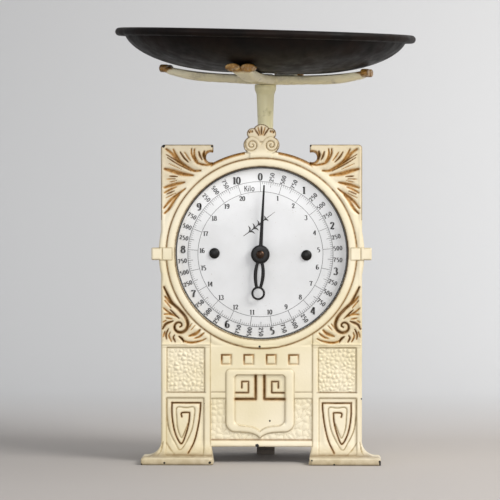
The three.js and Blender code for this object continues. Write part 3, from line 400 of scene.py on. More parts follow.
# %% Stroke helpers
def smooth_path(points, per_span=6):
    """A Catmull-Rom curve: on each span a cubic whose ends run along the neighbours' chords."""
    p = np.asarray(points, float)
    if len(p) == 2:
        return np.linspace(p[0], p[1], per_span)
    p = np.vstack([2 * p[0] - p[1], p, 2 * p[-1] - p[-2]])
    t = np.linspace(0, 1, per_span, endpoint=False)[:, None]
    spans = []
    for a, b, c, d in zip(p[:-3], p[1:-2], p[2:-1], p[3:]):
        spans.append(0.5 * (2 * b + (c - a) * t + (2 * a - 5 * b + 4 * c - d) * t ** 2
                            + (3 * b - a - 3 * c + d) * t ** 3))
    return np.vstack([*spans, p[-2]])


def path_distance(u, v, path):
    """Distance to a polyline, how far along it (0 to 1) the nearest point is, and on which side."""
    best = np.full(u.shape, 1e9)
    along = np.zeros(u.shape)
    side = np.zeros(u.shape)
    lengths = np.hypot(*np.diff(path, axis=0).T)
    total = lengths.sum()
    done = 0.0
    for start, end, length in zip(path[:-1], path[1:], lengths):
        if length < 1e-9:
            continue
        d = (end - start) / length
        t = np.clip((u - start[0]) * d[0] + (v - start[1]) * d[1], 0, length)
        du, dv = u - start[0] - t * d[0], v - start[1] - t * d[1]
        distance = np.hypot(du, dv)
        nearer = distance < best
        best = np.where(nearer, distance, best)
        along = np.where(nearer, (done + t) / total, along)
        side = np.where(nearer, np.sign(d[0] * dv - d[1] * du), side)
        done += length
    return best, along, side


def near(u, v, path, reach):
    """The indices of the points within reach of a path's box."""
    low, high = path.min(0) - reach, path.max(0) + reach
    return np.nonzero((u > low[0]) & (u < high[0]) & (v > low[1]) & (v < high[1]))[0]


print("stroke helpers ready")

# %% [markdown]
# ## The ornament's strokes
#
# Upper corners: two long leaves curl from the corner to the ring, with shorter cuts between them, and
# straight cuts fan out to the side. Lower corners: one stroke winds into a volute, with leaf cuts round
# it. Each row below is (width in mm at its widest, depth in mm, colour of the wash, points). The points
# are (out from the centre line, height) in millimetres.

# %% Ornament
UPPER_STROKES = [
    (2.0, 1.3, "gold", [(78.3, 258.0), (73.5, 254.3), (69.0, 248.6), (62.0, 243.8), (55.6, 240.3),
                         (50.0, 240.3)]),
    (1.5, 1.0, "gold", [(72.5, 257.8), (70.6, 253.7), (67.4, 248.6), (63.0, 245.0)]),
    (0.9, 0.7, "brown", [(66.8, 255.6), (63.9, 251.1), (60.1, 247.3)]),
    (0.9, 0.7, "gold", [(63.3, 255.6), (61.3, 252.4), (58.5, 248.6)]),
    (1.3, 1.2, "gold", [(57.5, 258.1), (57.5, 254.3), (55.6, 250.5), (52.4, 246.6), (44.8, 244.9),
                         (40.0, 246.0)]),
    (1.2, 1.0, "gold", [(55.0, 258.1), (55.3, 254.3), (54.3, 250.5), (52.1, 247.3)]),
    (1.0, 0.8, "brown", [(51.5, 255.9), (50.5, 252.4), (48.9, 249.2)]),
    (1.2, 0.9, "brown", [(47.0, 256.2), (47.6, 253.0), (46.7, 249.8)]),
    (0.6, 0.5, "brown", [(78.3, 253.7), (70.9, 249.2), (63.9, 244.7)]),
    (0.6, 0.6, "brown", [(77.3, 251.1), (70.3, 246.6), (62.0, 242.2), (57.8, 239.9)]),
    (0.5, 0.4, "gold", [(76.0, 246.0), (70.0, 243.4), (66.0, 241.6)]),
    (2.4, 1.2, "gold", [(79.5, 241.7), (74.1, 240.3), (65.2, 237.7), (56.2, 236.4)]),
    (0.7, 0.5, "brown", [(75.7, 235.8), (69.0, 235.5)]),
    (0.6, 0.5, "gold", [(78.6, 233.2), (70.9, 233.6)]),
    (0.6, 0.5, "gold", [(76.0, 230.7), (69.6, 232.3)]),
    (2.0, 1.1, "gold", [(79.8, 226.4), (72.2, 228.8), (63.3, 230.7)]),
    (1.4, 0.8, "gold", [(79.8, 222.1), (75.0, 224.9), (70.0, 227.0)]),
    (0.7, 0.5, "brown", [(77.9, 221.1), (71.6, 223.7)]),
    (0.6, 0.5, "gold", [(78.6, 217.9), (70.9, 221.8)]),
    (1.7, 1.1, "gold", [(80.3, 209.6), (74.1, 216.6), (62.6, 225.6)]),
    (1.7, 1.1, "gold", [(79.8, 205.2), (76.0, 209.0), (71.6, 216.0), (67.7, 220.5)]),
]
LOWER_STROKES = [
    (1.5, 1.3, "brown", [(80.3, 144.7), (77.4, 138.8), (73.5, 131.6), (68.2, 126.4), (63.0, 120.5),
                         (60.7, 114.6), (61.7, 110.1), (65.0, 107.5), (68.9, 107.6), (71.4, 110.1),
                         (71.3, 113.4), (69.0, 115.4), (66.4, 114.9), (65.6, 112.9), (67.2, 111.7)]),
    (1.6, 1.1, "gold", [(79.4, 136.8), (76.4, 133.2), (73.6, 130.2)]),
    (0.8, 0.8, "brown", [(75.2, 126.0), (70.4, 121.2), (67.6, 118.6)]),
    (0.9, 0.8, "gold", [(79.7, 133.6), (77.4, 131.0), (74.5, 127.4)]),
    (1.1, 0.9, "gold", [(80.7, 127.4), (77.4, 124.5), (74.0, 122.6)]),
    (1.2, 0.9, "gold", [(80.0, 122.2), (74.8, 122.3), (70.2, 120.3)]),
    (0.9, 0.7, "gold", [(78.7, 119.2), (73.5, 118.4)]),
    (1.2, 0.9, "brown", [(81.3, 110.1), (78.7, 114.2), (72.8, 116.6)]),
    (0.8, 0.7, "gold", [(81.2, 115.6), (78.2, 117.4)]),
    (0.9, 0.8, "brown", [(78.1, 101.8), (78.6, 105.5), (76.7, 110.1)]),
    (0.9, 0.8, "gold", [(80.9, 103.6), (79.6, 108.1)]),
    (1.0, 0.8, "gold", [(74.1, 99.6), (76.2, 104.2), (75.2, 107.5)]),
    (0.9, 0.8, "brown", [(71.0, 99.4), (72.6, 102.8), (71.6, 105.0)]),
    (1.0, 0.9, "brown", [(64.0, 99.4), (65.6, 102.2), (68.2, 104.2)]),
    (1.2, 1.0, "gold", [(67.6, 103.5), (63.0, 99.9), (57.2, 98.9), (49.9, 100.3), (45.7, 102.2)]),
    (1.9, 1.1, "gold", [(50.6, 109.3), (53.9, 106.3), (59.7, 104.2)]),
    (1.2, 0.9, "gold", [(47.3, 106.8), (51.2, 103.7), (55.2, 102.3)]),
    (0.6, 0.5, "gold", [(54.5, 113.3), (58.4, 108.8)]),
    (0.6, 0.5, "gold", [(57.0, 115.0), (60.0, 110.8)]),
]
print(len(UPPER_STROKES), "upper and", len(LOWER_STROKES), "lower strokes")

LEG_SPIRAL = [(59.9, 8.6), (55.4, 17.2), (52.2, 29.6), (50.6, 41.0), (50.2, 48.2), (51.2, 49.2),
              (62.0, 49.2), (72.7, 49.2), (73.7, 48.2), (73.4, 35.9), (70.8, 23.4), (66.1, 15.5),
              (62.5, 22.7), (59.9, 32.4), (59.2, 40.2), (60.0, 41.2), (64.7, 41.2), (66.1, 40.2),
              (65.6, 37.6)]
LEG_BAND = [(60.6, 32.0), (63.8, 24.0), (66.1, 20.6), (69.0, 28.0), (69.8, 37.2), (69.6, 45.2), (62.0, 45.2),
            (55.4, 45.2), (55.6, 36.2), (58.2, 24.6), (66.1, 11.0), (71.3, 16.9), (76.0, 26.9), (77.9, 39.3),
            (78.0, 52.0)]
CENTRE_SHIFT = -1.2  # the middle panel's ornament sits a little left in the casting
KEY_HEAVY = [(3.6, 71.6), (3.6, 52.4), (20.0, 52.4)]
KEY_LIGHT = [(19.8, 57.6), (9.6, 57.6), (9.6, 66.8), (15.0, 66.8), (15.0, 61.6)]


# %% [markdown]
# ## The relief
#
# The height of the casting's face above its plain field is added up from its parts: the ring's two
# mouldings, the border and rails, the leaf cuts, the hammered panels, the spiral on each leg and the
# framed shield. Each part also says where the painter's wash stayed and where shade is painted on.
# Hammered panels are a Voronoi pattern: the distance to the second nearest seed minus that to the
# nearest is zero on the cell walls and rises into a dome.


# %% Relief parts
def hammered(u, v, u0, u1, v0, v1, size, seed):
    """Domes about size mm across: one jittered seed per square, height from the two nearest seeds."""
    random = np.random.default_rng(seed)
    nu, nv = int((u1 - u0) / size) + 3, int((v1 - v0) / size) + 3
    gu, gv = np.meshgrid(np.arange(nu) - 1, np.arange(nv) - 1)
    seeds = np.stack([u0 + gu * size, v0 + gv * size], -1).reshape(-1, 2)
    seeds = seeds + random.uniform(0.1, 0.9, seeds.shape) * size
    lift = random.uniform(0.35, 1.0, len(seeds))
    nearest, second = np.full(u.shape, 1e9), np.full(u.shape, 1e9)
    height = np.zeros(u.shape)
    for (su, sv), tall in zip(seeds, lift):
        d = np.hypot(u - su, v - sv)
        first = d < nearest
        second = np.where(first, nearest, np.minimum(second, d))
        height = np.where(first, tall, height)
        nearest = np.where(first, d, nearest)
    wall = second - nearest
    return height * smoothstep(0.0, 0.75 * size, wall), 1 - smoothstep(0.0, 0.35, wall)


def groove(distance, width):
    """The cross-section of a cut: 1 at its middle, falling as a bell curve of that half-width."""
    return np.exp(-(distance / (0.5 * width)) ** 2)


RELIEF_DEPTH = 1.5  # mm, a stroke of depth 1
STROKE_SPREAD = 1.55  # tapered strokes were cut wider than their drawn line
ALL = slice(None)


class Relief:
    """The height and the wash masks on a set of points (u across, v up, both in millimetres)."""

    def __init__(self, u, v):
        """Starts flat and clean; a is how far out from the centre line."""
        self.u, self.v, self.a = u, v, np.abs(u)
        self.height = np.zeros(u.shape)
        self.wash = np.zeros((len(u), 3))

    def stain(self, where, kind, amount):
        """Lays one kind of mask, gold wash, brown wash or painted shade, where it is stronger than what is
        there.
        """
        column = {"gold": 0, "brown": 1, "darkening": 2}[kind]
        self.wash[where, column] = np.maximum(self.wash[where, column], amount)

    def cut(self, points, width, depth, kind, taper=True, u=None, strength=1.0, raise_side=0.0, smooth=True):
        """One stroke: a groove with wash or painted shade in it, and a soft swell beside it when raise_side
        isn't 0.
        """
        path = smooth_path(points) if smooth else np.asarray(points, float)
        across = self.a if u is None else u
        at = near(across, self.v, path, 4 + width)
        distance, along, side = path_distance(across[at], self.v[at], path)
        size = width
        if taper:
            size = STROKE_SPREAD * width * (0.4 + 0.6 * np.sin(np.pi * np.clip(along * 0.9 + 0.08, 0, 1)))
        cut = groove(distance, size)
        self.height[at] -= RELIEF_DEPTH * depth * cut
        if raise_side:
            swell = np.exp(-((distance - 1.4 * size) / (0.9 * size)) ** 2) * (side * np.sign(raise_side) > 0)
            self.height[at] += abs(raise_side) * swell * np.sin(np.pi * np.clip(along, 0, 1))
        core = np.clip(cut * 1.5 - 0.2, 0, 1) * strength
        if kind == "gold":
            self.stain(at, "gold", core)
            self.stain(at, "brown", np.clip(groove(distance, size * 0.45) - 0.25, 0, 1) * 0.55 * strength)
        elif kind == "brown":
            self.stain(at, "brown", core * 0.95)
            self.stain(at, "gold", groove(distance, size * 1.6) * 0.7 * strength)
        else:
            # Any other kind is painted shade along the groove.
            self.stain(at, "darkening", core)


def ring_relief(relief):
    """Two mouldings round the opening with a painted line between; radius r from the dial's middle."""
    r = np.hypot(relief.u, relief.v - OPENING_Z)
    inner = smoothstep(OPENING_R - 0.2, OPENING_R + 1.6, r) * (1 - smoothstep(GROOVE_R - 1.4, GROOVE_R, r))
    crown = np.sin(np.pi * np.clip((r - OPENING_R) / (GROOVE_R - OPENING_R), 0, 1))
    relief.height += np.where(r < GROOVE_R, 1.1 + 0.5 * inner * crown, 0)
    outer_band = np.sin(np.pi * np.clip((r - GROOVE_R) / (RING_R - GROOVE_R), 0, 1))
    relief.height += 0.6 * outer_band * (relief.v > 96) * (r > GROOVE_R)
    tab = box_distance(relief.a, relief.v, 73.3, 93, 166.9, 177.0)
    line = groove(r - GROOVE_R, 1.0) * smoothstep(-0.2, 0.8, tab)
    relief.height -= 0.7 * line
    upper = smoothstep(150, 200, relief.v)
    relief.stain(ALL, "brown", line * (0.28 + 0.2 * upper))
    relief.stain(ALL, "gold", 0.7 * line)
    # Painted shade beside the groove line, and a painted shadow line at the opening's edge, where its wall
    # falls into shade.
    relief.stain(ALL, "darkening", groove(r - GROOVE_R, 1.8) * 0.55 * smoothstep(-0.2, 0.8, tab))
    relief.stain(ALL, "darkening", 0.6 * groove(r - OPENING_R, 2.0))
    relief.stain(ALL, "brown", 0.8 * groove(r - OPENING_R, 0.9))


def top_edge_relief(relief, edge):
    """The ring's bare top between the blocks and the crest: a rounded edge with a brown line along it."""
    top = (relief.v > OPENING_Z + 60) & (relief.a < BLOCK_IN + 8) & (relief.a > 13.5) & (relief.v < 256.9)
    r = np.hypot(relief.u, relief.v - OPENING_Z)
    band = np.where(top & (r > GROOVE_R + 1), groove(edge + 1.3, 2.0), 0)
    relief.height -= 0.8 * band
    relief.stain(ALL, "gold", band)
    relief.stain(ALL, "brown", np.where(top & (r > GROOVE_R + 1), groove(edge + 0.7, 1.3), 0) * 0.8)
    bite = disc_distance(relief.a, relief.v, BLOCK_IN + 2, 251.3, 4.0)
    blob = np.where(relief.a < BLOCK_IN + 6, groove(bite - 1.2, 1.8), 0) * smoothstep(249.5, 253, relief.v)
    relief.height -= 0.7 * blob
    relief.stain(ALL, "gold", blob)
    relief.stain(ALL, "brown", 0.6 * blob * groove(bite - 1.0, 1.0))


def rails_relief(relief, edge):
    """Borders and rails stand above the field, with a soft line of painted shade where they meet it."""
    a, v = relief.a, relief.v
    below = v < 98
    fields = [
        box_distance(a, v, 46.8, 77.8, 58.2, 94.8, 0.6),
        box_distance(a, v, 47.4, 78.2, 7.2, 53.3, 0.6),
    ]
    field = np.minimum(*fields)
    height = smoothstep(-0.1, 0.9, field)
    relief.height += np.where(below & (a > 41.8), 1.5 * height, 0)
    line = np.where(below & (a > 41.8), groove(field, 0.9), 0)
    relief.stain(ALL, "darkening", line * 0.9)
    sill = groove(v - 58.0, 1.1) * smoothstep(-1.0, 0.0, -box_distance(a, v, 46.0, 78.4, 50, 66))
    relief.stain(ALL, "brown", 0.55 * sill)
    # These cut lines and the upright groove below carry painted shade.
    for z, strength in ((96.7, 0.75), (94.9, 0.5)):
        cut = np.where(a > 42, groove(v - z, 0.8), 0) * (edge < -0.3)
        relief.height -= 0.35 * cut
        relief.stain(ALL, "darkening", cut * strength)
    border = np.where((v > 98) & (np.hypot(a, v - OPENING_Z) > GROOVE_R), smoothstep(79.4, 80.4, a), 0)
    relief.height += 0.35 * border
    upright = groove(a - 42.0, 0.9) * (v < 106) * (v > APRON_Z) * (np.hypot(a, v - OPENING_Z) > GROOVE_R)
    relief.height -= 0.5 * upright
    relief.stain(ALL, "darkening", upright)


def tab_relief(relief):
    """The side tabs stand above everything, with painted shade round them and in a line where they cross the
    plate's edge.
    """
    tab = box_distance(relief.a, relief.v, 73.3, 95, 166.9, 177.0, 0.5)
    relief.height = np.where(tab < 0, np.maximum(relief.height, 1.5), relief.height)
    relief.stain(ALL, "darkening", 0.9 * groove(tab, 0.9) * (relief.a > 72))
    cut = groove(relief.a - 81.6, 0.9) * (tab < 0)
    relief.height -= 0.5 * cut
    relief.stain(ALL, "darkening", cut)


def leg_relief(relief):
    """The tapering shield on each leg, wound like a spiral, with a dark line in its outer turn."""
    relief.cut(LEG_SPIRAL, 1.05, 0.9, "brown", taper=False)
    # The band and the two cuts at the foot carry painted shade in their grooves.
    relief.cut(LEG_BAND, 1.1, 0.5, "darkening", taper=False)
    relief.cut([(81.0, 17.0), (82.4, 10.0), (84.4, 7.4)], 1.0, 0.35, "darkening")
    relief.cut([(78.4, 16.4), (74.6, 11.0), (70.4, 7.0)], 1.0, 0.45, "darkening")
    inside = box_distance(relief.a, relief.v, 49, 77, 12, 50, 6)
    relief.height += 0.7 * (1 - smoothstep(-3, 0.5, inside))


def shield_outline(u, v, half, top, low, corner, drop):
    """A shield: a rounded rectangle whose lower edge dips to a point on the centre line by drop mm."""
    dip = drop * np.exp(-np.abs(u) / 4.6) * (1 - smoothstep(38, 56, v))
    return box_distance(u, v + dip, -half, half, low, top, np.where(v < 50, 2.2 * corner, corner))


def centre_relief(relief):
    """The middle panel: plain field, four squares, hammered ground below and the framed shield."""
    a, v = relief.a, relief.v
    u = relief.u - CENTRE_SHIFT
    c = np.abs(u)
    panel = (a < 41.8) & (v < 96) & (v > 12)
    ground = (v < 52.6) & (v > 19.6)
    outer = shield_outline(u, v, 28.1, 77.3, 25.4, 3.6, 5.2)
    inner = shield_outline(u, v, 20.5, 72.6, 30.6, 2.6, 5.0)
    domes, walls = hammered(relief.u, v, -42, 42, 18, 54, 5.0, 11)
    out = smoothstep(0.2, 1.0, outer)
    lower = panel & ground
    relief.height += np.where(panel & ~ground, 0.7, 0)
    relief.height += np.where(lower, out * 0.8 * domes - 0.2, 0)
    # The hammered cell walls are painted darker as shade.
    relief.stain(lower, "darkening", (0.45 * walls * out)[lower])
    # The upper cut gets a brown line and the lower one painted shade.
    for z, strength in ((58.2, 0.8), (52.8, 0.35)):
        cut = np.where(panel & (outer > 0.5), groove(v - z, 1.0), 0)
        relief.height -= 0.4 * cut
        relief.stain(ALL, "brown" if z > 55 else "darkening", 0.55 * cut * strength)
    rail = panel & (v > 53.2) & (v < 57.8) & (outer > 0)
    relief.height += np.where(rail, 0.4, 0)
    frame_band = np.clip(-outer / 7.4, 0, 1)
    crown = np.sqrt(np.clip(1 - (2 * frame_band - 1) ** 4, 0, 1))
    in_frame = (outer < 0) & (inner > 0)
    relief.height = np.where(in_frame, 0.5 + 1.5 * crown, relief.height)
    relief.height = np.where(inner <= 0, 0.1, relief.height)
    # Painted shade in the creases round the shield's frame.
    relief.stain(ALL, "darkening", np.where(panel, 0.8 * groove(outer, 0.9), 0))
    relief.stain(ALL, "darkening", 0.65 * groove(inner, 1.1))
    relief.cut(KEY_HEAVY, 1.9, 0.9, "brown", taper=False, u=c, smooth=False)
    relief.cut(KEY_LIGHT, 1.25, 0.8, "brown", taper=False, u=c, smooth=False, strength=0.8)
    for out_by in (9.25, 27.65):
        square = np.maximum(np.abs(c - out_by), np.abs(v - 85.0)) - 3.8
        inset = 1 - smoothstep(-0.5, 0.3, np.abs(square) - 0.75)
        relief.height -= np.where(square < 1.2, 1.1 * inset, 0)
        # Painted shade: each square's inset wash is stronger towards its top and its left side.
        shade = np.clip(0.62 + 0.1 * (v - 85.0) - 0.07 * (u - np.sign(u) * out_by), 0.3, 1)
        relief.stain(ALL, "gold", inset * shade)
        relief.stain(ALL, "brown", 0.55 * inset * smoothstep(0.7, 1.0, shade))
    floor = groove(v - 18.9, 1.3) * (a < 41.6)
    relief.height -= 0.55 * floor
    relief.stain(ALL, "brown", 0.5 * floor)
    relief.stain(ALL, "gold", 0.5 * floor)
    relief.height += np.where((v < 18.4) & (a < 41.8), 0.5 + 0.3 * np.cos((v - 15.8) * 1.1), 0)


def crest_relief(relief):
    """Spirals cut in the volutes and rays cut in the shell's lobes."""
    a, v = relief.a, relief.v
    volute = disc_distance(a, v, 7.8, 261.4, 7.0)
    shell = np.minimum(disc_distance(a, v, 0, 271.2, 7.4), disc_distance(a, v, 7.4, 270.7, 4.6))
    stem = box_distance(a, v, -9, 9, 250, 262)
    relief.height += np.where((volute < 0) | (stem < 0), 1.2, 0)
    relief.height += np.where((shell < 0) & (volute > 0), 0.8, 0)
    turn = np.linspace(0, 3.6 * math.pi, 40)
    radius = 5.6 * (1 - turn / (4.1 * math.pi))
    spiral = np.stack([7.9 + radius * np.cos(turn - 0.5), 261.4 - radius * np.sin(turn - 0.5)], -1)
    # The volute spiral and the line round each volute carry painted shade.
    relief.cut(spiral, 0.95, 0.8, "darkening", taper=False, smooth=False)
    shadow_line = groove(volute + 0.2, 0.9) * (shell < 0.4)
    relief.height -= 0.5 * shadow_line
    relief.stain(ALL, "darkening", 0.8 * shadow_line)
    relief.stain(ALL, "brown", 0.55 * groove(shell + 0.35, 0.9) * (volute > 0.3))
    for out, z, reach, count in ((0.0, 266.2, 10.6, 5), (7.6, 268.2, 5.2, 3)):
        for k in range(count):
            lean = math.radians((k - (count - 1) / 2) * 17 + (16 if out else 0))
            base = np.array([out, z])
            ray = np.array([math.sin(lean), math.cos(lean)])
            relief.cut([base + 3.6 * ray, base + reach * ray], 0.75, 0.6, "gold" if k % 2 else "brown",
                       u=relief.a if out else relief.u)
    split = groove(disc_distance(a, v, 7.4, 270.7, 4.6), 0.8) * (disc_distance(a, v, 0, 271.2, 7.4) < 1.4)
    relief.height -= 0.3 * split * (volute > 0)


def toning(relief, edge):
    """A faint film of glaze in the leafy corners; painted shade on each foot's sweep and slab with a painted
    shadow line above the lip; darker near the outline; a brown line inside the top outline.
    """
    v = relief.v
    r = np.hypot(relief.u, v - OPENING_Z)
    leafy = smoothstep(RING_R - 3, RING_R + 3, r) * smoothstep(97, 101, v)
    upper = leafy * smoothstep(196, 236, v)
    lower = leafy * (1 - smoothstep(140, 152, v))
    film = np.maximum(upper, 0.8 * lower)
    relief.stain(ALL, "gold", 0.08 * film)
    relief.stain(ALL, "darkening", 0.2 * film)
    # Painted shade on the foot's sweep and on the slab below the lip.
    relief.stain(ALL, "darkening", 0.5 * smoothstep(5.0, 7, v) * (1 - smoothstep(8, 19, v)))
    relief.stain(ALL, "darkening", 0.6 * (1 - smoothstep(LIP_Z - 1.0, LIP_Z - 0.1, v)))
    relief.stain(ALL, "brown", 0.1 * (1 - smoothstep(LIP_Z - 1.0, LIP_Z - 0.1, v)))
    # Darker within about 2 mm of the outline.
    relief.stain(ALL, "darkening", 0.3 * (1 - smoothstep(0.3, 2.2, -edge)))
    # A painted shadow line just above the lip.
    relief.stain(ALL, "brown", 0.4 * groove(v - LIP_Z - 1.2, 3.0))
    relief.stain(ALL, "brown", np.where(v > 200, 0.8 * groove(edge + 0.2, 0.9), 0))


def casting_relief(u, v, edge):
    """All the parts together; edge is the distance to the casting's outline."""
    relief = Relief(u, v)
    ring_relief(relief)
    rails_relief(relief, edge)
    centre_relief(relief)
    leg_relief(relief)
    domes, walls = hammered(relief.a + np.where(u > 0, 40, 0), v, 44, 122, 56, 97, 3.5, 5)
    square = box_distance(relief.a, v, 46.8, 77.8, 58.2, 94.8, 0.6)
    inside = 1 - smoothstep(-1.2, -0.2, square)
    relief.height += 1.25 * domes * inside
    # The hammered cell walls are painted darker as shade.
    relief.stain(ALL, "darkening", 0.35 * walls * inside)
    for width, depth, kind, points in UPPER_STROKES:
        relief.cut(points, width, depth, kind, raise_side=0.45 if width > 1.1 else 0.2)
    for width, depth, kind, points in LOWER_STROKES:
        relief.cut(points, width, depth, kind, raise_side=0.4 if width > 1.1 else 0.2)
    top_edge_relief(relief, edge)
    toning(relief, edge)
    tab_relief(relief)
    crest_relief(relief)
    return relief


print("relief parts ready")

# %% [markdown]
# ## From distance and relief to a closed casting
#
# A square grid 0.62 mm wide covers the front. Squares outside the outline are dropped, and the points
# nearest the edge are moved onto it along the distance's slope, so the silhouette is clean. From that
# edge the wall turns over a small radius and runs back to the flat rear face, which is filled between the
# same edge points. At the feet the whole face sweeps forward, and a roll along the bottom makes the lip.

# %% Build the casting
CELL = 0.62
EDGE_ROUND = 0.9


def sweep_forward(v):
    """How far the face comes forward at height v: none above SWEEP_Z, then a curve down to the lip."""
    drop = np.clip((SWEEP_Z - v) / (SWEEP_Z - LIP_Z), 0, 1)
    curve = FOOT_REACH * (1 - np.sqrt(np.clip(1 - drop ** 2.2, 0, 1)))
    roll = np.sqrt(np.clip(1 - ((v - LIP_Z / 2) / (LIP_Z / 2 + 0.3)) ** 2, 0, 1))
    return np.where(v < LIP_Z, FOOT_REACH - 1.0 + 1.3 * roll, np.minimum(curve, FOOT_REACH - 0.4))


def edge_points(index, cells):
    """The loops of boundary points of a set of grid squares, in order."""
    corners = [index[:-1, :-1], index[:-1, 1:], index[1:, 1:], index[1:, :-1]]
    faces = np.stack([corner[cells] for corner in corners], -1)
    edges = np.concatenate([faces[:, [k, (k + 1) % 4]] for k in range(4)])
    key = np.minimum(edges[:, 0], edges[:, 1]).astype(np.int64) * (faces.max() + 1) + edges.max(1)
    _, first, count = np.unique(key, return_index=True, return_counts=True)
    border = edges[first[count == 1]]
    after = dict(map(tuple, border.tolist()))
    loops = []
    while after:
        start, here = next(iter(after.items()))
        loop = [start]
        del after[start]
        while here != start:
            loop.append(here)
            here = after.pop(here)
        loops.append(loop)
    return faces, loops


def trimmed_grid(distance, us, vs, cell):
    """Squares inside an outline, with their border moved onto it: points, faces, loops and distances."""
    u, v = np.meshgrid(us, vs)
    keep = distance(u, v) < -0.12 * cell
    cells = keep[:-1, :-1] & keep[:-1, 1:] & keep[1:, 1:] & keep[1:, :-1]
    # A point that touches only two opposite squares would join two edges in one place, so such squares go.
    for _ in range(3):
        pad = np.pad(cells, 1)
        a, b, c, d = pad[:-1, :-1], pad[:-1, 1:], pad[1:, 1:], pad[1:, :-1]
        pinch = (a & c & ~b & ~d) | (b & d & ~a & ~c)
        cells = cells & ~(pinch[:-1, :-1] | pinch[1:, 1:] | pinch[:-1, 1:] | pinch[1:, :-1])
    index = np.arange(u.size).reshape(u.shape)
    faces, loops = edge_points(index, cells)
    used, inverse = np.unique(faces, return_inverse=True)
    faces = inverse.reshape(faces.shape)
    u, v = u.ravel()[used], v.ravel()[used]
    where = {old: new for new, old in enumerate(used.tolist())}
    loops = [np.array([where[p] for p in loop]) for loop in loops]
    border = np.concatenate(loops)
    for _ in range(4):
        bu, bv = u[border], v[border]
        d = distance(bu, bv)
        gu = (distance(bu + 0.02, bv) - distance(bu - 0.02, bv)) / 0.04
        gv = (distance(bu, bv + 0.02) - distance(bu, bv - 0.02)) / 0.04
        size = np.maximum(np.hypot(gu, gv), 0.3)
        u[border] = bu - d * gu / size ** 2
        v[border] = bv - d * gv / size ** 2
    return u, v, faces, loops, distance(u, v)


def build_casting():
    """The front face: its points, squares, border loops, relief and distance to the edge."""
    us = np.arange(-99.5, 99.6, CELL)
    vs = np.arange(-0.8, 280.5, CELL)
    u, v, faces, loops, edge = trimmed_grid(outline_distance, us, vs, CELL)
    v = np.maximum(v, 0.0)
    relief = casting_relief(u, v, edge)
    inside = np.clip(-edge, 0, None)
    height = relief.height - 0.9 * (1 - smoothstep(0, EDGE_ROUND, inside)) ** 2
    front = PLATE_FRONT - sweep_forward(v) - height
    return u, v, front, faces, loops, relief, edge


u, v, front, faces, loops, relief, edge = build_casting()
print(len(u), "points on the face,", len(faces), "squares,", len(loops), "edges")


# %% Chips, walls and back of the casting
# Each chip is (across, up, size) in millimetres.
CHIPS = [(-80.6, 260.6, 1.8), (-40.6, 260.4, 1.3), (-3.5, 14.2, 2.0), (6.9, 34.5, 1.0), (-1.4, 95.8, 1.3),
         (-78.6, 1.9, 1.2), (-41.6, 2.2, 1.4), (98.0, 1.5, 1.9), (41.8, 4.2, 0.9), (60.0, 0.8, 1.1),
         (97.0, 3.5, 1.2), (82.4, 53.0, 1.1), (2.5, 12.9, 0.8), (-83.0, 32.0, 0.7), (-97.6, 1.0, 1.0),
         (40.4, 260.8, 1.0), (-72.6, 130.4, 0.5), (-47.0, 49.0, 0.5)]


def chip_mask(u, v, edge):
    """High near each chip, and a little raised along the outer edges where knocks break the paint."""
    mask = 0.30 * np.exp(-(edge / 0.5) ** 2)
    for cu, cv, size in CHIPS:
        mask = np.maximum(mask, 0.95 * np.exp(-((np.hypot(u - cu, v - cv) / size) ** 2)))
    return mask


def close_casting(u, v, front, faces, loops, relief, edge):
    """Adds the turned-over edge, the side wall and the rear face to the front grid."""
    points = [np.stack([CENTRE_X + u, front, v], -1)]
    wash, chip = [relief.wash], [chip_mask(u, v, edge)]
    all_faces = [faces]
    count = len(u)
    rear_loops = []
    for loop in loops:
        n = len(loop)
        ahead = np.arange(n)
        previous = loop
        for depth in (0.5, 1.0):
            y = front[loop] + depth * (PLATE_BACK - front[loop])
            ring = np.stack([CENTRE_X + u[loop], y, v[loop]], -1)
            points.append(ring)
            # The wall carries painted shade, stronger towards the back.
            side = np.zeros((n, 3))
            side[:, 2] = 0.25 if depth < 1 else 0.6
            wash.append(side)
            chip.append(np.full(n, 0.1))
            new = count + ahead
            a, b = previous, np.roll(previous, -1)
            c, d = np.roll(new, -1), new
            all_faces.append(np.stack([b, a, d, c], -1))
            previous = new
            count += n
        rear_loops.append(previous)
    points, wash, chip = np.vstack(points), np.vstack(wash), np.concatenate(chip)
    order = np.concatenate(rear_loops)
    flat = points * [1, 0, 1]
    fill = tessellate_polygon([[Vector(p) for p in flat[loop][:, [0, 2, 1]]] for loop in rear_loops])
    triangles = order[np.array(fill)]
    p, q, r = flat[triangles[:, 0]], flat[triangles[:, 1]], flat[triangles[:, 2]]
    turn = np.cross(q - p, r - p)[:, 1]
    triangles = np.where((turn > 0)[:, None], triangles, triangles[:, ::-1])
    return points, np.vstack(all_faces).tolist() + triangles.tolist(), wash, chip


points, casting_faces, wash, chip = close_casting(u, v, front, faces, loops, relief, edge)
casting = make_mesh("front_casting", points, casting_faces, "frame")
store(casting, "wash", wash)
store(casting, "chip", chip)
shade_by_angle(casting, 60)
finish_piece(casting, CASTING_PAINT, "front_paint", "front_plate")


# %% [markdown]
# ## Hoops and tubes
#
# A hoop is a closed profile carried round an axis, such as a flange or a rolled rim. A tube is a closed
# section carried along a path in space. Its section is kept from twisting by reflecting the last frame in
# the plane half-way to the next point, twice, which is the usual double-reflection rule.


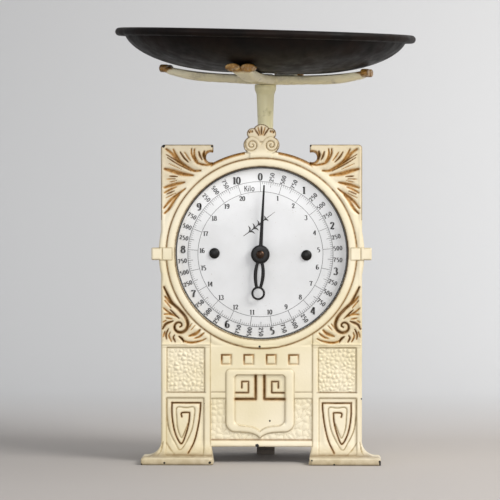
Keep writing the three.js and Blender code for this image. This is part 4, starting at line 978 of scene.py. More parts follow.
# %% Hoops and tubes
def hoop(name, profile, body, segments=96, centre=(0, 0, 0), axis="z"):
    """A closed profile of (radius, height) points, counter-clockwise, carried round an axis."""
    profile = np.asarray(profile, float)
    angle = np.linspace(0, 2 * math.pi, segments, endpoint=False)
    r, z = profile[:, 0][:, None], profile[:, 1][:, None]
    x, y = r * np.cos(angle), r * np.sin(angle)
    points = np.stack([x, y, np.broadcast_to(z, x.shape)], -1).reshape(-1, 3)
    if axis == "y":
        points = np.stack([points[:, 0], -points[:, 2], points[:, 1]], -1)
    faces = grid_faces(len(profile), segments, wrap_rows=True, wrap_columns=True)
    piece = make_mesh(name, points + np.asarray(centre, float), faces, body)
    shade_by_angle(piece)
    return piece


def frames(path):
    """Tangent, side and up directions along a path."""
    tangent = np.gradient(path, axis=0)
    tangent /= np.linalg.norm(tangent, axis=1)[:, None]
    side = np.zeros_like(path)
    first = np.cross(tangent[0], [0, 1, 0] if abs(tangent[0][1]) < 0.9 else [1, 0, 0])
    side[0] = first / np.linalg.norm(first)
    for i in range(len(path) - 1):
        step = path[i + 1] - path[i]
        size = step @ step
        flip = side[i] - 2 / size * (step @ side[i]) * step
        turn = tangent[i] - 2 / size * (step @ tangent[i]) * step
        rest = tangent[i + 1] - turn
        again = rest @ rest
        side[i + 1] = flip if again < 1e-12 else flip - 2 / again * (rest @ flip) * rest
    return tangent, side, np.cross(tangent, side)


def tube_arrays(path, wide, tall=None, sides=10, closed=False):
    """A tube with an elliptical section, wide x tall (half sizes) at each point of the path."""
    path = np.asarray(path, float)
    wide = np.broadcast_to(np.asarray(wide, float), len(path))
    tall = wide if tall is None else np.broadcast_to(np.asarray(tall, float), len(path))
    _, side, up = frames(path)
    angle = np.linspace(0, 2 * math.pi, sides, endpoint=False)
    across = side[:, None] * (np.cos(angle)[:, None] * wide[:, None, None])
    above = up[:, None] * (np.sin(angle)[:, None] * tall[:, None, None])
    points = (path[:, None] + across + above).reshape(-1, 3)
    faces = grid_faces(len(path), sides, wrap_rows=closed, wrap_columns=True).tolist()
    if not closed:
        faces.append(list(range(sides))[::-1])
        faces.append(list(range((len(path) - 1) * sides, len(path) * sides)))
    return points, faces


def gathered(parts):
    """Several (points, faces) pairs as one."""
    points, faces, start = [], [], 0
    for part_points, part_faces in parts:
        points.append(part_points)
        faces += [[corner + start for corner in face] for face in part_faces]
        start += len(part_points)
    return np.vstack(points), faces


print("hoops and tubes ready")

# %% [markdown]
# ## Finishes
#
# - Vitreous enamel: glass fused on sheet iron, very smooth, with a faint wave from firing.
# - Print: black ceramic colour fired on the enamel, slightly worn; the same black draws a painted shadow line
#   round the dial's rim.
# - Black japan: stoved bitumen varnish on the pointer and the dial screws, brown-black with a soft gloss.
# - Rear leg and base: iron paint gone taupe with dust, matt.
# - Painted tube and star: the casting's cream, more olive and grimy on the handled column.
# - Dish: sheet iron with a black oil-fired skin that has worn to brown.
# - Brass, steel: turned and drawn, with fine marks along the turning.


# %% Finish materials
def dial_enamel():
    """White vitreous enamel: very smooth, a firing wave every 20 mm and a few faint tea-coloured specks."""
    material, tree, shader = new_material("white_vitreous_enamel")
    coords = add(tree, "ShaderNodeTexCoord").outputs["Object"]
    stain = ramp(tree, noise(tree, 26, 3, 0.6, coords),
                 [(0.3, "#CFD0D0"), (0.6, "#D7D8D9"), (0.8, "#DBDCDD")])
    specks = ramp(tree, noise(tree, 700, 1, 0.5, coords), [(0.22, 1.0), (0.27, 0.0)])
    colour = mix(tree, maths(tree, "MULTIPLY", specks, 0.35), stain, linear("#9E907A"))
    tree.links.new(colour, shader.inputs["Base Color"])
    rough = ramp(tree, noise(tree, 60, 2, 0.5, coords), [(0.3, 0.09), (0.7, 0.17)])
    tree.links.new(rough, shader.inputs["Roughness"])
    shader.inputs["IOR"].default_value = 1.5
    bump(tree, shader, noise(tree, 45, 2, 0.5, coords), 0.0004, 0.22)
    return material


def black_coat(name, dark, warm, low, high, grain=220.0, depth=0.0001, gloss=0.5):
    """A dark coat that varies between two tones and two roughnesses, with a fine bump."""
    material, tree, shader = new_material(name)
    coords = add(tree, "ShaderNodeTexCoord").outputs["Object"]
    cloud = noise(tree, 38, 4, 0.62, coords)
    tree.links.new(ramp(tree, cloud, [(0.38, dark), (0.7, warm)]), shader.inputs["Base Color"])
    tree.links.new(ramp(tree, noise(tree, 95, 3, 0.6, coords), [(0.3, low), (0.7, high)]),
                   shader.inputs["Roughness"])
    shader.inputs["Specular IOR Level"].default_value = gloss
    bump(tree, shader, noise(tree, grain, 3, 0.55, coords), depth, 0.4)
    return material


def metal(name, light, dark, low, high, line_scale=(600.0, 600.0, 60.0)):
    """Bare metal: two tones of tarnish, and fine marks stretched along one way by scaling the coordinates."""
    material, tree, shader = new_material(name)
    coords = add(tree, "ShaderNodeTexCoord").outputs["Object"]
    tree.links.new(ramp(tree, noise(tree, 70, 4, 0.6, coords), [(0.35, dark), (0.65, light)]),
                   shader.inputs["Base Color"])
    stretched = add(tree, "ShaderNodeMapping", {0: coords, 3: line_scale}).outputs[0]
    marks = noise(tree, 1.0, 2, 0.5, stretched)
    tree.links.new(ramp(tree, marks, [(0.3, low), (0.7, high)]), shader.inputs["Roughness"])
    shader.inputs["Metallic"].default_value = 1.0
    bump(tree, shader, marks, 0.00005, 0.3)
    return material


def painted(name, stops, darkening, gilded=False, rough=(0.36, 0.52)):
    """Plain oil paint: three tones by noise, grime in patches, gold where wash says, and brush ripple."""
    material, tree, shader = new_material(name)
    coords = add(tree, "ShaderNodeTexCoord").outputs["Object"]
    colour = ramp(tree, noise(tree, 30, 3, 0.6, coords), stops)
    patches = ramp(tree, noise(tree, 110, 4, 0.65, coords), [(0.56, 0.0), (0.72, 0.6)])
    colour = mix(tree, patches, colour, linear(darkening))
    if gilded:
        radius = add(tree, "ShaderNodeAttribute", attribute_name="wash").outputs["Fac"]
        broken = maths(tree, "ADD", radius, maths(tree, "MULTIPLY", noise(tree, 400, 2, 0.6, coords), 0.25))
        mask = ramp(tree, broken, [(0.55, 0.0), (0.75, 1.0)])
        worn = ramp(tree, noise(tree, 230, 3, 0.7, coords),
                    [(0.35, "#57390C"), (0.55, "#8F6420"), (0.75, "#BC9650")])
        colour = mix(tree, mask, colour, worn)
    chips = ramp(tree, noise(tree, 210, 2, 0.5, coords), [(0.24, 1.0), (0.255, 0.0)])
    colour = mix(tree, maths(tree, "MULTIPLY", chips, 0.8), colour, linear("#4A3A2A"))
    tree.links.new(colour, shader.inputs["Base Color"])
    tree.links.new(ramp(tree, noise(tree, 90, 2, 0.5, coords), [(0.3, rough[0]), (0.7, rough[1])]),
                   shader.inputs["Roughness"])
    shader.inputs["IOR"].default_value = 1.48
    bump(tree, shader, noise(tree, 420, 2, 0.5, coords), 0.0002, 0.3)
    return material


ENAMEL = dial_enamel()
PRINT_AND_SHADOW_LINE = black_coat("fired_black_print_and_shadow_line", "#1E1C1B", "#3A3634", 0.25, 0.4, 900.0, 0.00002)
JAPAN = black_coat("stoved_black_japan", "#060505", "#100D0B", 0.3, 0.5, gloss=0.3)
LEG_TAUPE = black_coat("dusty_taupe_iron_paint", "#736A62", "#948A7F", 0.55, 0.75)
DISH_SKIN = black_coat("oil_blackened_sheet_iron", "#080504", "#190E08", 0.42, 0.66, 60.0, 0.0008, 0.12)
COLUMN_PAINT = painted("handled_olive_cream_paint", [(0.3, "#C6C096"), (0.5, "#D8D1A8"), (0.75, "#E3DCB8")],
                       "#8F8658")
STAR_PAINT = painted("cream_oil_paint_gold_tips", [(0.3, "#CFC6A4"), (0.5, "#DED5B4"), (0.75, "#E6DEC2")],
                     "#9A9184", gilded=True)
COVER_PAINT = painted("sprayed_cream_enamel_sheet", [(0.3, "#DACEA6"), (0.5, "#E4DAB8"), (0.75, "#E9E1C4")],
                      "#B7A678", rough=(0.3, 0.45))
BRONZE = metal("dark_bronze_cap", "#5E4A3C", "#3A2C24", 0.3, 0.45)
BRASS = metal("turned_brass", "#B8924E", "#8A6A34", 0.24, 0.42)
STEEL = metal("drawn_steel", "#9C9B98", "#6E6B66", 0.28, 0.46)
SPRING_STEEL = metal("blued_spring_wire", "#5C5E66", "#34343A", 0.25, 0.4)
print("finishes ready")

# %% [markdown]
# ## Enamel dial
#
# The dial is a shallow dished disc, so its rim turns back and its middle is flat. The scale runs
# clockwise from 0 to 10 over 342 degrees: one kilogram is 34.2 degrees, with a tick for each 50 g. A
# second ring of plain numbers counts 1 to 20 in half kilograms.

# %% Dial plate
DIAL_X, DIAL_Z = float(dial_middle[0]), float(dial_middle[2])
dial_low = box_mm("dial_plate")[0]
DIAL_R = OPENING_R - 0.45  # the enamel's turned-back rim stands just inside the opening
DIAL_FRONT = float(dial_low[1])
DOME = 0.5
dome = np.linspace(DIAL_R - 0.9, 0, 26)
dial_profile = [(0, -DIAL_FRONT - 1.2), (DIAL_R - 0.4, -DIAL_FRONT - 1.2), (DIAL_R, -DIAL_FRONT - 0.8),
                (DIAL_R, -DIAL_FRONT - 0.35)]
dial_profile += [(r, -DIAL_FRONT + 0.02 + DOME * (1 - (r / DIAL_R) ** 6) - 0.5) for r in dome]
dial = turned("enamel_dial", dial_profile, "frame", 192, (CENTRE_X - 0.1, 0, OPENING_Z), "y")
finish_piece(dial, ENAMEL, "dial_enamel", "dial_plate")


# %% [markdown]
# ## Numerals
#
# A numeral is a few strokes in a box one unit high. A modern-face numeral is thick where the pen moves up
# or down and thin where it moves across, so a stroke's width depends on its direction: thin plus (thick -
# thin) times the upright share of the direction. Strokes become flat prisms 0.05 mm thick on the enamel.


# %% Numeral shapes
def ellipse(x, y, rx, ry, start=90.0, sweep=360.0, steps=20):
    """Points round an ellipse, from one angle by a sweep, in degrees."""
    angle = np.radians(np.linspace(start, start + sweep, steps))
    return np.stack([x + rx * np.cos(angle), y + ry * np.sin(angle)], -1)


GLYPHS = {
    "0": [ellipse(0.28, 0.5, 0.22, 0.48)],
    "1": [[(0.3, 0.98), (0.3, 0.0)], [(0.3, 0.96), (0.12, 0.84)], [(0.12, 0.02), (0.48, 0.02)]],
    "2": [[(0.08, 0.74), (0.14, 0.92), (0.28, 0.98), (0.43, 0.9), (0.46, 0.72), (0.32, 0.44), (0.08, 0.06)],
          [(0.07, 0.06), (0.22, 0.1), (0.38, 0.04), (0.5, 0.2)]],
    "3": [ellipse(0.25, 0.75, 0.19, 0.23, 150, -235), ellipse(0.26, 0.27, 0.22, 0.27, 85, -245)],
    "4": [[(0.36, 0.98), (0.04, 0.3), (0.54, 0.3)], [(0.38, 0.98), (0.38, 0.0)],
          [(0.24, 0.02), (0.52, 0.02)]],
    "5": [[(0.46, 0.94), (0.14, 0.96), (0.11, 0.54)], ellipse(0.26, 0.3, 0.22, 0.3, 128, -250)],
    "6": [[(0.44, 0.88), (0.32, 0.98), (0.15, 0.86), (0.06, 0.5), (0.1, 0.14)],
          ellipse(0.28, 0.29, 0.21, 0.28)],
    "7": [[(0.06, 0.8), (0.08, 0.94), (0.5, 0.94)], [(0.5, 0.94), (0.3, 0.5), (0.24, 0.0)]],
    "8": [ellipse(0.28, 0.76, 0.17, 0.21), ellipse(0.28, 0.28, 0.22, 0.28)],
    "9": [[(0.12, 0.12), (0.24, 0.02), (0.41, 0.14), (0.5, 0.5), (0.46, 0.86)],
          ellipse(0.28, 0.71, 0.21, 0.28)],
    "K": [[(0.08, 1.0), (0.08, 0.0)], [(0.5, 1.0), (0.09, 0.42)], [(0.24, 0.62), (0.54, 0.0)]],
    "i": [[(0.1, 0.66), (0.1, 0.0)], [(0.1, 0.86), (0.1, 0.96)]],
    "l": [[(0.1, 1.0), (0.1, 0.0)]],
    "o": [ellipse(0.28, 0.33, 0.21, 0.33)],
}
ADVANCE = {"i": 0.3, "l": 0.3, "1": 0.56}


def prism(path, half, front, thick=0.05):
    """A flat strip along a 2-D path (x, z), half its width to each side, as a closed box-shaped tube."""
    path = np.asarray(path, float)
    direction = np.gradient(path, axis=0)
    direction /= np.maximum(np.linalg.norm(direction, axis=1), 1e-9)[:, None]
    normal = np.stack([-direction[:, 1], direction[:, 0]], -1) * np.asarray(half)[:, None]
    left, right = path + normal, path - normal
    corner = [(left, front), (right, front), (right, front + thick), (left, front + thick)]
    points = np.stack([np.stack([p[:, 0], np.full(len(p), y), p[:, 1]], -1) for p, y in corner], 1)
    faces = grid_faces(len(path), 4, wrap_columns=True).tolist()
    faces.append([3, 2, 1, 0])
    last = 4 * (len(path) - 1)
    faces.append([last, last + 1, last + 2, last + 3])
    return points.reshape(-1, 3), faces


def text_prisms(text, x, z, size, turn, front, thick=0.16, thin=0.05, spread=1.0):
    """A word as prisms, centred on (x, z) and turned by an angle in degrees, counter-clockwise."""
    widths = [spread * ADVANCE.get(letter, 0.62) for letter in text]
    pen = -sum(widths) / 2
    c, s = math.cos(math.radians(turn)), math.sin(math.radians(turn))
    prisms = []
    for letter, width in zip(text, widths):
        for stroke in GLYPHS[letter]:
            path = smooth_path(stroke, 5) if 2 < len(stroke) < 12 else np.asarray(stroke, float)
            direction = np.gradient(path, axis=0)
            upright = np.abs(direction[:, 1]) / np.maximum(np.linalg.norm(direction, axis=1), 1e-9)
            half = size * 0.5 * (thin + (thick - thin) * upright ** 1.5)
            across, up = ((path + [pen, -0.5]) * size).T
            placed = np.stack([x + c * across - s * up, z + s * across + c * up], -1)
            prisms.append(prism(placed, half, front))
        pen += width
    return prisms


print(len(GLYPHS), "letter shapes")

# %% Dial printing
PER_KILO = 34.2
SCALE_R = 59.8
INNER_R = 51.5
INK_Y = DIAL_FRONT - 0.07


def on_dial(clock, r):
    """The point at a clockwise angle from the top, in degrees, and a radius."""
    return DIAL_X + r * math.sin(math.radians(clock)), DIAL_Z + r * math.cos(math.radians(clock))


def radial(clock, r0, r1, width):
    """A straight line along a radius."""
    return prism([on_dial(clock, r0), on_dial(clock, r1)], [width / 2] * 2, INK_Y)


def dial_marks():
    """Circles, ticks, numbers, the word for the unit and a painted shadow line round the rim."""
    marks = []
    for r in (SCALE_R, INNER_R):
        marks.append(prism(ellipse(DIAL_X, DIAL_Z, r, r, 90, 360, 241), [0.15] * 241, INK_Y))
    # A painted shadow line: a dark ring at the dial's rim standing for the shaded gap to the opening's wall.
    shadow_line = ellipse(CENTRE_X - 0.1, OPENING_Z, DIAL_R - 0.5, DIAL_R - 0.5, 90, 360, 241)
    marks.append(prism(shadow_line, [0.4] * 241, INK_Y + 0.25, 0.3))
    for step in range(201):
        clock = step * PER_KILO / 20
        length = SCALE_R - INNER_R if step % 10 == 0 else 4.1 if step % 5 == 0 else 2.1
        marks.append(radial(clock, SCALE_R - length, SCALE_R, 0.28 if step % 5 == 0 else 0.21))
    for kilo in range(11):
        x, z = on_dial(kilo * PER_KILO, 63.7)
        marks += text_prisms(str(kilo), x, z, 5.9, 0, INK_Y, 0.27, 0.08)
    for step in range(1, 40):
        if step % 4:
            clock = step * PER_KILO / 4
            x, z = on_dial(clock, 64.2)
            turn = 90 - clock if clock < 180 else 270 - clock
            marks += text_prisms(str(step % 4 * 250), x, z, 3.5, turn, INK_Y, 0.22, 0.09, 1.18)
    for number in range(1, 21):
        x, z = on_dial(number * PER_KILO / 2, 48.2)
        marks += text_prisms(str(number), x, z, 3.9, 0, INK_Y, 0.24, 0.08)
    x, z = on_dial(-9.4, 54.9)
    marks += text_prisms("Kilo", x, z, 4.7, 4, INK_Y, 0.13, 0.12)
    return marks


def dial_ornament():
    """A plain sprig above the pointer: a slanting stem with pairs of small leaves."""
    stem = smooth_path([(-14, 15), (-7, 20), (1, 26.5), (12, 35)], 10)
    parts = [(stem, 0.34 * np.sin(np.pi * np.linspace(0.1, 1, len(stem))) + 0.12)]
    for share in (0.2, 0.38, 0.56, 0.74):
        base = stem[int(share * (len(stem) - 1))]
        for side in (-1, 1):
            lean = math.radians(40 + side * 52)
            reach = 6.4 - 3.4 * share
            tip = base + reach * np.array([math.cos(lean), math.sin(lean)])
            bow = base + 0.55 * reach * np.array([math.cos(lean - side * 0.45), math.sin(lean - side * 0.45)])
            leaf = smooth_path([base, bow, tip], 8)
            parts.append((leaf, 0.08 + 0.55 * np.sin(np.pi * np.linspace(0, 1, len(leaf))) ** 1.3))
    return [prism(path + [DIAL_X, DIAL_Z], half, INK_Y) for path, half in parts]


points, ink_faces = gathered(dial_marks() + dial_ornament())
printing = make_mesh("dial_print_and_shadow_line", points, ink_faces, "frame", smooth=False)
finish_piece(printing, PRINT_AND_SHADOW_LINE, "black_paint")

# %% [markdown]
# ## Pointer and dial screws
#
# The pointer is a flat steel hand with soft edges. Its long end tapers to a point, and its short end
# opens into a lens-shaped loop with a ring below it that balances the hand. A bronze cap covers the
# shaft.

# %% Pointer
cap_low, cap_high = box_mm("pointer_cap")
hand_low = box_mm("pointer_hand")[0]
HAND_Y = float(hand_low[1]) + 0.9
POINTER_LEAN = 3.1
POINTER_TIP, HUB_RADIUS, TAIL_Z, TAIL_R = 57.0, 7.7, 32.0, 4.8


def hand_place(x, z):
    """A point of the hand, given straight up, turned clockwise to where the hand rests."""
    c, s = math.cos(math.radians(POINTER_LEAN)), math.sin(math.radians(POINTER_LEAN))
    x, z = np.asarray(x, float), np.asarray(z, float)
    return np.stack([DIAL_X + c * x + s * z, np.full(x.shape, HAND_Y), DIAL_Z - s * x + c * z], -1)


def pointer_parts():
    """Needle, two sides of the lens and the ring, as tubes with a flat oval section."""
    t = np.linspace(0, 1, 24)
    needle = hand_place(np.zeros(24), 2 + (POINTER_TIP - 2) * t)
    parts = [tube_arrays(needle, 0.62 + 1.05 * (1 - t), 0.55, 12)]
    for side in (-1, 1):
        bow = np.linspace(0, 1, 22)
        x = side * (1.3 + 2.0 * np.sin(np.pi * bow) ** 0.8 * (1 - 0.15 * bow))
        z = -(5.5 + 22.5 * bow)
        parts.append(tube_arrays(hand_place(x, z), 1.15 + 0.3 * np.sin(np.pi * bow), 0.55, 10))
    angle = np.linspace(0, 2 * math.pi, 40, endpoint=False)
    angle = np.append(angle, 2 * math.pi)
    ring = hand_place(TAIL_R * np.cos(angle), TAIL_R * np.sin(angle) - TAIL_Z)
    parts.append(tube_arrays(ring, 0.88, 0.6, 10))
    return parts


points, hand_faces = gathered(pointer_parts())
pointer = make_mesh("pointer_hand_blade", points, hand_faces, "pointer")
finish_piece(pointer, JAPAN, "black_paint", "pointer_hand")
hub_face = -float(hand_low[1])
disc = [(0, hub_face - 1.9), (HUB_RADIUS, hub_face - 1.9), (HUB_RADIUS, hub_face - 0.5),
        (HUB_RADIUS - 2.0, hub_face - 0.1), (0, hub_face - 0.1)]
hub = turned("pointer_hub", rounded(disc, 0.5), "pointer", 64, (DIAL_X, 0, DIAL_Z), "y")
finish_piece(hub, JAPAN, "black_paint")
cap_back, cap_front = -float(cap_high[1]), -float(cap_low[1])
cap_r = float(cap_high[0] - cap_low[0]) / 2
cap_profile = [(0, cap_back), (cap_r, cap_back), (cap_r, cap_back + 0.5)]
cap_profile += [(cap_r * math.cos(t), cap_back + 0.5 + (cap_front - cap_back - 0.5) * math.sin(t))
                for t in np.linspace(0.15, 1.5, 9)] + [(0, cap_front)]
cap = turned("pointer_boss", cap_profile, "pointer", 40, (DIAL_X, 0, DIAL_Z), "y")
finish_piece(cap, BRONZE, "black_paint", "pointer_cap")

for word in ("left", "right"):
    node = f"dial_screw_{word}"
    low, high = box_mm(node)
    at = (low + high) / 2
    radius, face, seat = (high[0] - low[0]) / 2, -low[1], -dial_low[1]
    head = [(0, seat - 3), (1.6, seat - 3), (1.6, seat + 0.05), (radius, seat + 0.05)]
    head += [(radius * math.cos(t), seat + 0.5 + (face - seat - 0.5) * math.sin(t))
             for t in np.linspace(0, 1.5, 10)]
    head.append((0, face))
    screw = turned(f"dial_screw_head_{word}", head, "frame", 40, (at[0], 0, at[2]), "y")
    finish_piece(screw, JAPAN, "black_paint", node)

# %% [markdown]
# ## Dish
#
# The dish was spun from sheet iron: a flat middle, a wall that rises like a quarter of an ellipse, and an
# edge rolled over a wire. It sits a little askew on the old support, leaning to the right and nodding
# forward, so the turned shape is made upright and then turned about the middle of its rim.

# %% Dish shape
PAN_LEAN = 1.6
DISH_NOD = 1.2
DISH_R, BEAD_R, FLAT_R, DISH_DEPTH, SHEET = 125.0, 3.3, 28.0, 34.5, 1.4
DISH_SEAT = 321.105
WALL_R = DISH_R - 6.8


def leant(points, centre_z, lean, nod=0.0):
    """Points turned about Y by lean, right side down, then about X by nod, front down."""
    p = np.asarray(points, float) - [0, 0, centre_z]
    c, s = math.cos(math.radians(lean)), math.sin(math.radians(lean))
    p = np.stack([c * p[:, 0] + s * p[:, 2], p[:, 1], -s * p[:, 0] + c * p[:, 2]], -1)
    c, s = math.cos(math.radians(nod)), math.sin(math.radians(nod))
    p = np.stack([p[:, 0], c * p[:, 1] - s * p[:, 2], s * p[:, 1] + c * p[:, 2]], -1)
    return p + [0, 0, centre_z]


def lean_piece(piece, centre_z, lean, nod=0.0):
    """Turns a finished mesh in place; its object stays at the origin."""
    count = len(piece.data.vertices)
    flat = np.empty(count * 3)
    piece.data.vertices.foreach_get("co", flat)
    turned_points = leant(flat.reshape(-1, 3) * 1000, centre_z, lean, nod) / 1000
    piece.data.vertices.foreach_set("co", turned_points.ravel())
    piece.data.update()


def dish_height(r):
    """Height of the outside above the flat: depth (1 - sqrt(1 - s^2)), s running 0 to 1 across the wall."""
    s = np.clip((r - FLAT_R) / (WALL_R - FLAT_R), 0, 1)
    return DISH_DEPTH * (1 - np.sqrt(1 - s * s))


def dish_profile():
    """Outside upwards, round the bead and back down the inside."""
    turn = np.sin(np.linspace(0, math.pi / 2, 40))
    outside_r = FLAT_R + (WALL_R - 0.8 - FLAT_R) * turn
    outside = np.stack([outside_r, dish_height(outside_r)], -1)
    bead = np.radians(np.linspace(-110, 165, 20))
    edge = [DISH_R - BEAD_R, DISH_DEPTH - BEAD_R] + BEAD_R * np.stack([np.cos(bead), np.sin(bead)], -1)
    inside_r = FLAT_R + (WALL_R - 0.8 - SHEET - FLAT_R) * turn[::-1]
    inside = np.stack([inside_r, dish_height(inside_r + 0.6 * SHEET) + SHEET], -1)
    under, floor = [(0, 0), (FLAT_R * 0.5, 0)], [(FLAT_R * 0.5, SHEET), (0, SHEET)]
    return np.vstack([under, outside, edge, inside, floor])


dish = turned("spun_dish", dish_profile(), "dish", 256, (0, 0, DISH_SEAT))
lean_piece(dish, DISH_SEAT + DISH_DEPTH - BEAD_R, PAN_LEAN, DISH_NOD)
finish_piece(dish, DISH_SKIN, "dish_steel", "dish")

# %% [markdown]
# ## Support star
#
# Four cast arms bow upwards from a hub, with a long window in each and a forked tip that the dish rests
# on. Seen from above the star is one outline, so it is cut from a grid like the front: the top and the
# underside follow height = rise (r / reach)^3, and both turn down or up over a small radius at the edge.

# %% Star shape
STAR_Z, STAR_T, STAR_RISE, STAR_REACH, STAR_TURN = 314.5, 5.0, 6.2, 89.0, -12.0
TIP_IN, LOBE_R, LOBE_OUT, HUB_R = 84.0, 5.6, 6.4, 12.5
TIP_TOP = STAR_Z + STAR_T + STAR_RISE + 0.8


def star_distance(x, y):
    """Distance to the star's outline; the plan is folded so that one half of one arm describes it all."""
    p, q = np.maximum(np.abs(x), np.abs(y)), np.minimum(np.abs(x), np.abs(y))
    half = 8.0 + 4.4 * np.clip((46 - p) / 33.6, 0, 1) ** 2.2 + 0.5 * smoothstep(60, 84, p)
    arm = np.maximum(q - half, p - TIP_IN - 1)
    slot_half = 3.4 - 2.4 * np.clip((p - 17.5) / 29.5, 0, 1)
    slot = np.hypot(np.maximum(q - slot_half + 0.8, 0), np.maximum(np.abs(p - 32.2) - 14.7 + 0.8, 0)) - 0.8
    inner = np.maximum(q - slot_half, np.abs(p - 32.2) - 14.7)
    slot = np.where(inner < -0.8, inner, slot)
    return np.maximum(arm, -slot)


def build_star():
    """Top and underside from one trimmed grid, joined round every edge."""
    cell = 0.8
    line = np.arange(-86.4, 86.5, cell)
    x, y, faces, loops, edge = trimmed_grid(star_distance, line, line, cell)
    r = np.hypot(x, y)
    rise = STAR_RISE * (r / STAR_REACH) ** 3
    inside = np.clip(-edge, 0, None)
    fall = 1.1 * (1 - smoothstep(0, 1.6, inside)) ** 2
    hollow = 0.5 * smoothstep(2.2, 4.2, inside) * smoothstep(12, 15, r)
    top = STAR_Z + STAR_T + rise - fall - hollow
    belly = 2.6 * smoothstep(0, 4.0, inside) * (1 - 0.6 * smoothstep(60, 86, r))
    under = STAR_Z + rise + 0.9 * (1 - smoothstep(0, 1.4, inside)) ** 2 - belly
    n = len(x)
    points = np.vstack([np.stack([x, y, top], -1), np.stack([x, y, under], -1)])
    sides = []
    for loop in loops:
        after = np.roll(loop, -1)
        sides.append(np.stack([after, loop, loop + n, after + n], -1))
    faces = np.vstack([faces, faces[:, ::-1] + n, *sides])
    wash = np.concatenate([smoothstep(70, 88, r), smoothstep(78, 88, r) * 0.8])
    return points, faces, wash


def turned_star(points):
    """The star's own turn about the column, then its lean."""
    c, s = math.cos(math.radians(STAR_TURN)), math.sin(math.radians(STAR_TURN))
    p = np.asarray(points, float)
    p = np.stack([c * p[:, 0] - s * p[:, 1], s * p[:, 0] + c * p[:, 1], p[:, 2]], -1)
    return leant(p, STAR_Z, PAN_LEAN)


points, faces, wash = build_star()
star = make_mesh("support_star", turned_star(points), faces, "load")
store(star, "wash", wash)
shade_by_angle(star, 50)
finish_piece(star, STAR_PAINT, "support_paint", "pan_support")


def lobe(turn, side):
    """One rounded lobe of a forked tip: a short domed oval whose axis lies along the arm."""
    profile = rounded([(0, -3.6), (LOBE_R, -3.6), (LOBE_R, 2.7), (0, 2.7)], 1.5, 6)
    angle = np.linspace(0, 2 * math.pi, 36, endpoint=False)
    r, h = profile[:, 0][:, None], profile[:, 1][:, None]
    r = np.maximum(r, 0.02)
    p = np.stack([np.broadcast_to(86.3 + h, (len(profile), 36)), side * LOBE_OUT + 1.12 * r * np.cos(angle),
                  TIP_TOP - 3.3 + 0.59 * r * np.sin(angle)], -1).reshape(-1, 3)
    faces = grid_faces(len(profile), 36, wrap_columns=True).tolist()
    faces.append(list(range(36))[::-1])
    faces.append(list(range((len(profile) - 1) * 36, len(profile) * 36)))
    c, s = math.cos(turn), math.sin(turn)
    return np.stack([c * p[:, 0] - s * p[:, 1], s * p[:, 0] + c * p[:, 1], p[:, 2]], -1), faces


points, lobe_faces = gathered([lobe(k * math.pi / 2, side) for k in range(4) for side in (-1, 1)])
tips = make_mesh("support_tips", turned_star(points), lobe_faces, "load")
store(tips, "wash", np.full(len(points), 0.62))
shade_by_angle(tips, 40)
finish_piece(tips, STAR_PAINT, "support_paint")
hub_profile = rounded([(0, 312.4), (HUB_R, 312.4), (HUB_R, 316.2), (0, 316.2)], 0.9)
star_hub = turned("support_hub", hub_profile, "load", 72)
store(star_hub, "wash", np.zeros(len(star_hub.data.vertices)))
lean_piece(star_hub, STAR_Z, PAN_LEAN)
finish_piece(star_hub, STAR_PAINT, "support_paint")

# %% [markdown]
# ## Column
#
# A drawn steel tube, painted, that slides down through the housing as the load grows. It swells a little
# towards a turned collar that the star sits on.

# %% Column shape
column_low, column_high = box_mm("load_column")
COLUMN_R, COLLAR_R = 6.5, 8.95
foot, top = column_low[2], column_high[2]
column_profile = rounded([(0, foot), (COLUMN_R, foot), (COLUMN_R, 281.5), (COLUMN_R + 0.85, 303.6),
                          (COLLAR_R, 307.4), (COLLAR_R, 311.7), (4.5, 311.7), (4.5, top), (0, top)], 0.8)
column = turned("load_column_tube", column_profile, "load", 72)
finish_piece(column, COLUMN_PAINT, "column_paint", "load_column")

# %% [markdown]
# ## Rear cover, grommet and adjusting nut
#
# The cover is pressed from sheet: an arch that follows the dial, closed at the back with a rounded
# corner. Its wall is swept as rows of (inset, depth) along the same arch. The nut is brass with a
# straight knurl: its radius goes up and down 24 times round.

# %% Cover shape
cover_low, cover_high = box_mm("rear_cover")
COVER_HALF = (cover_high[0] - cover_low[0]) / 2
COVER_WALL = 1.5


def arch(inset, y, steps=60):
    """The arch's line at one inset: up the right side, over the top and down the left."""
    half = COVER_HALF - inset
    angle = np.linspace(0, math.pi, steps)
    x = np.concatenate([np.full(24, half), half * np.cos(angle), np.full(24, -half)])
    rise = np.linspace(cover_low[2], OPENING_Z, 25)[:-1]
    z = np.concatenate([rise, OPENING_Z + half * np.sin(angle), rise[::-1]])
    return np.stack([CENTRE_X + x, np.full(x.shape, y), z], -1)


def cover_mesh():
    """Inside back corner to front lip to outside back corner, closed by flat faces."""
    y0, y1, corner = cover_low[1], cover_high[1], 5.0
    turn = np.linspace(0, math.pi / 2, 8)
    inner_r = corner - COVER_WALL
    rows = [(COVER_WALL + inner_r * (1 - math.cos(t)), y1 - corner + inner_r * math.sin(t))
            for t in turn[::-1]]
    rows += [(COVER_WALL, y1 - 40), (COVER_WALL, y0 + 0.4), (COVER_WALL - 0.4, y0), (0.4, y0), (0, y0 + 0.4)]
    rows += [(0, y) for y in np.linspace(y0 + 4, y1 - corner - 2, 12)]
    rows += [(corner * (1 - math.cos(t)), y1 - corner + corner * math.sin(t)) for t in turn]
    points = np.stack([arch(inset, y) for inset, y in rows])
    count, across = points.shape[:2]
    faces = grid_faces(count, across).tolist()
    faces.append(list(range(across))[::-1])
    faces.append([(count - 1) * across + k for k in range(across)])
    first = [row * across for row in range(count)]
    faces.append(first + [corner + across - 1 for corner in first[::-1]])
    return points.reshape(-1, 3), [face[::-1] for face in faces]


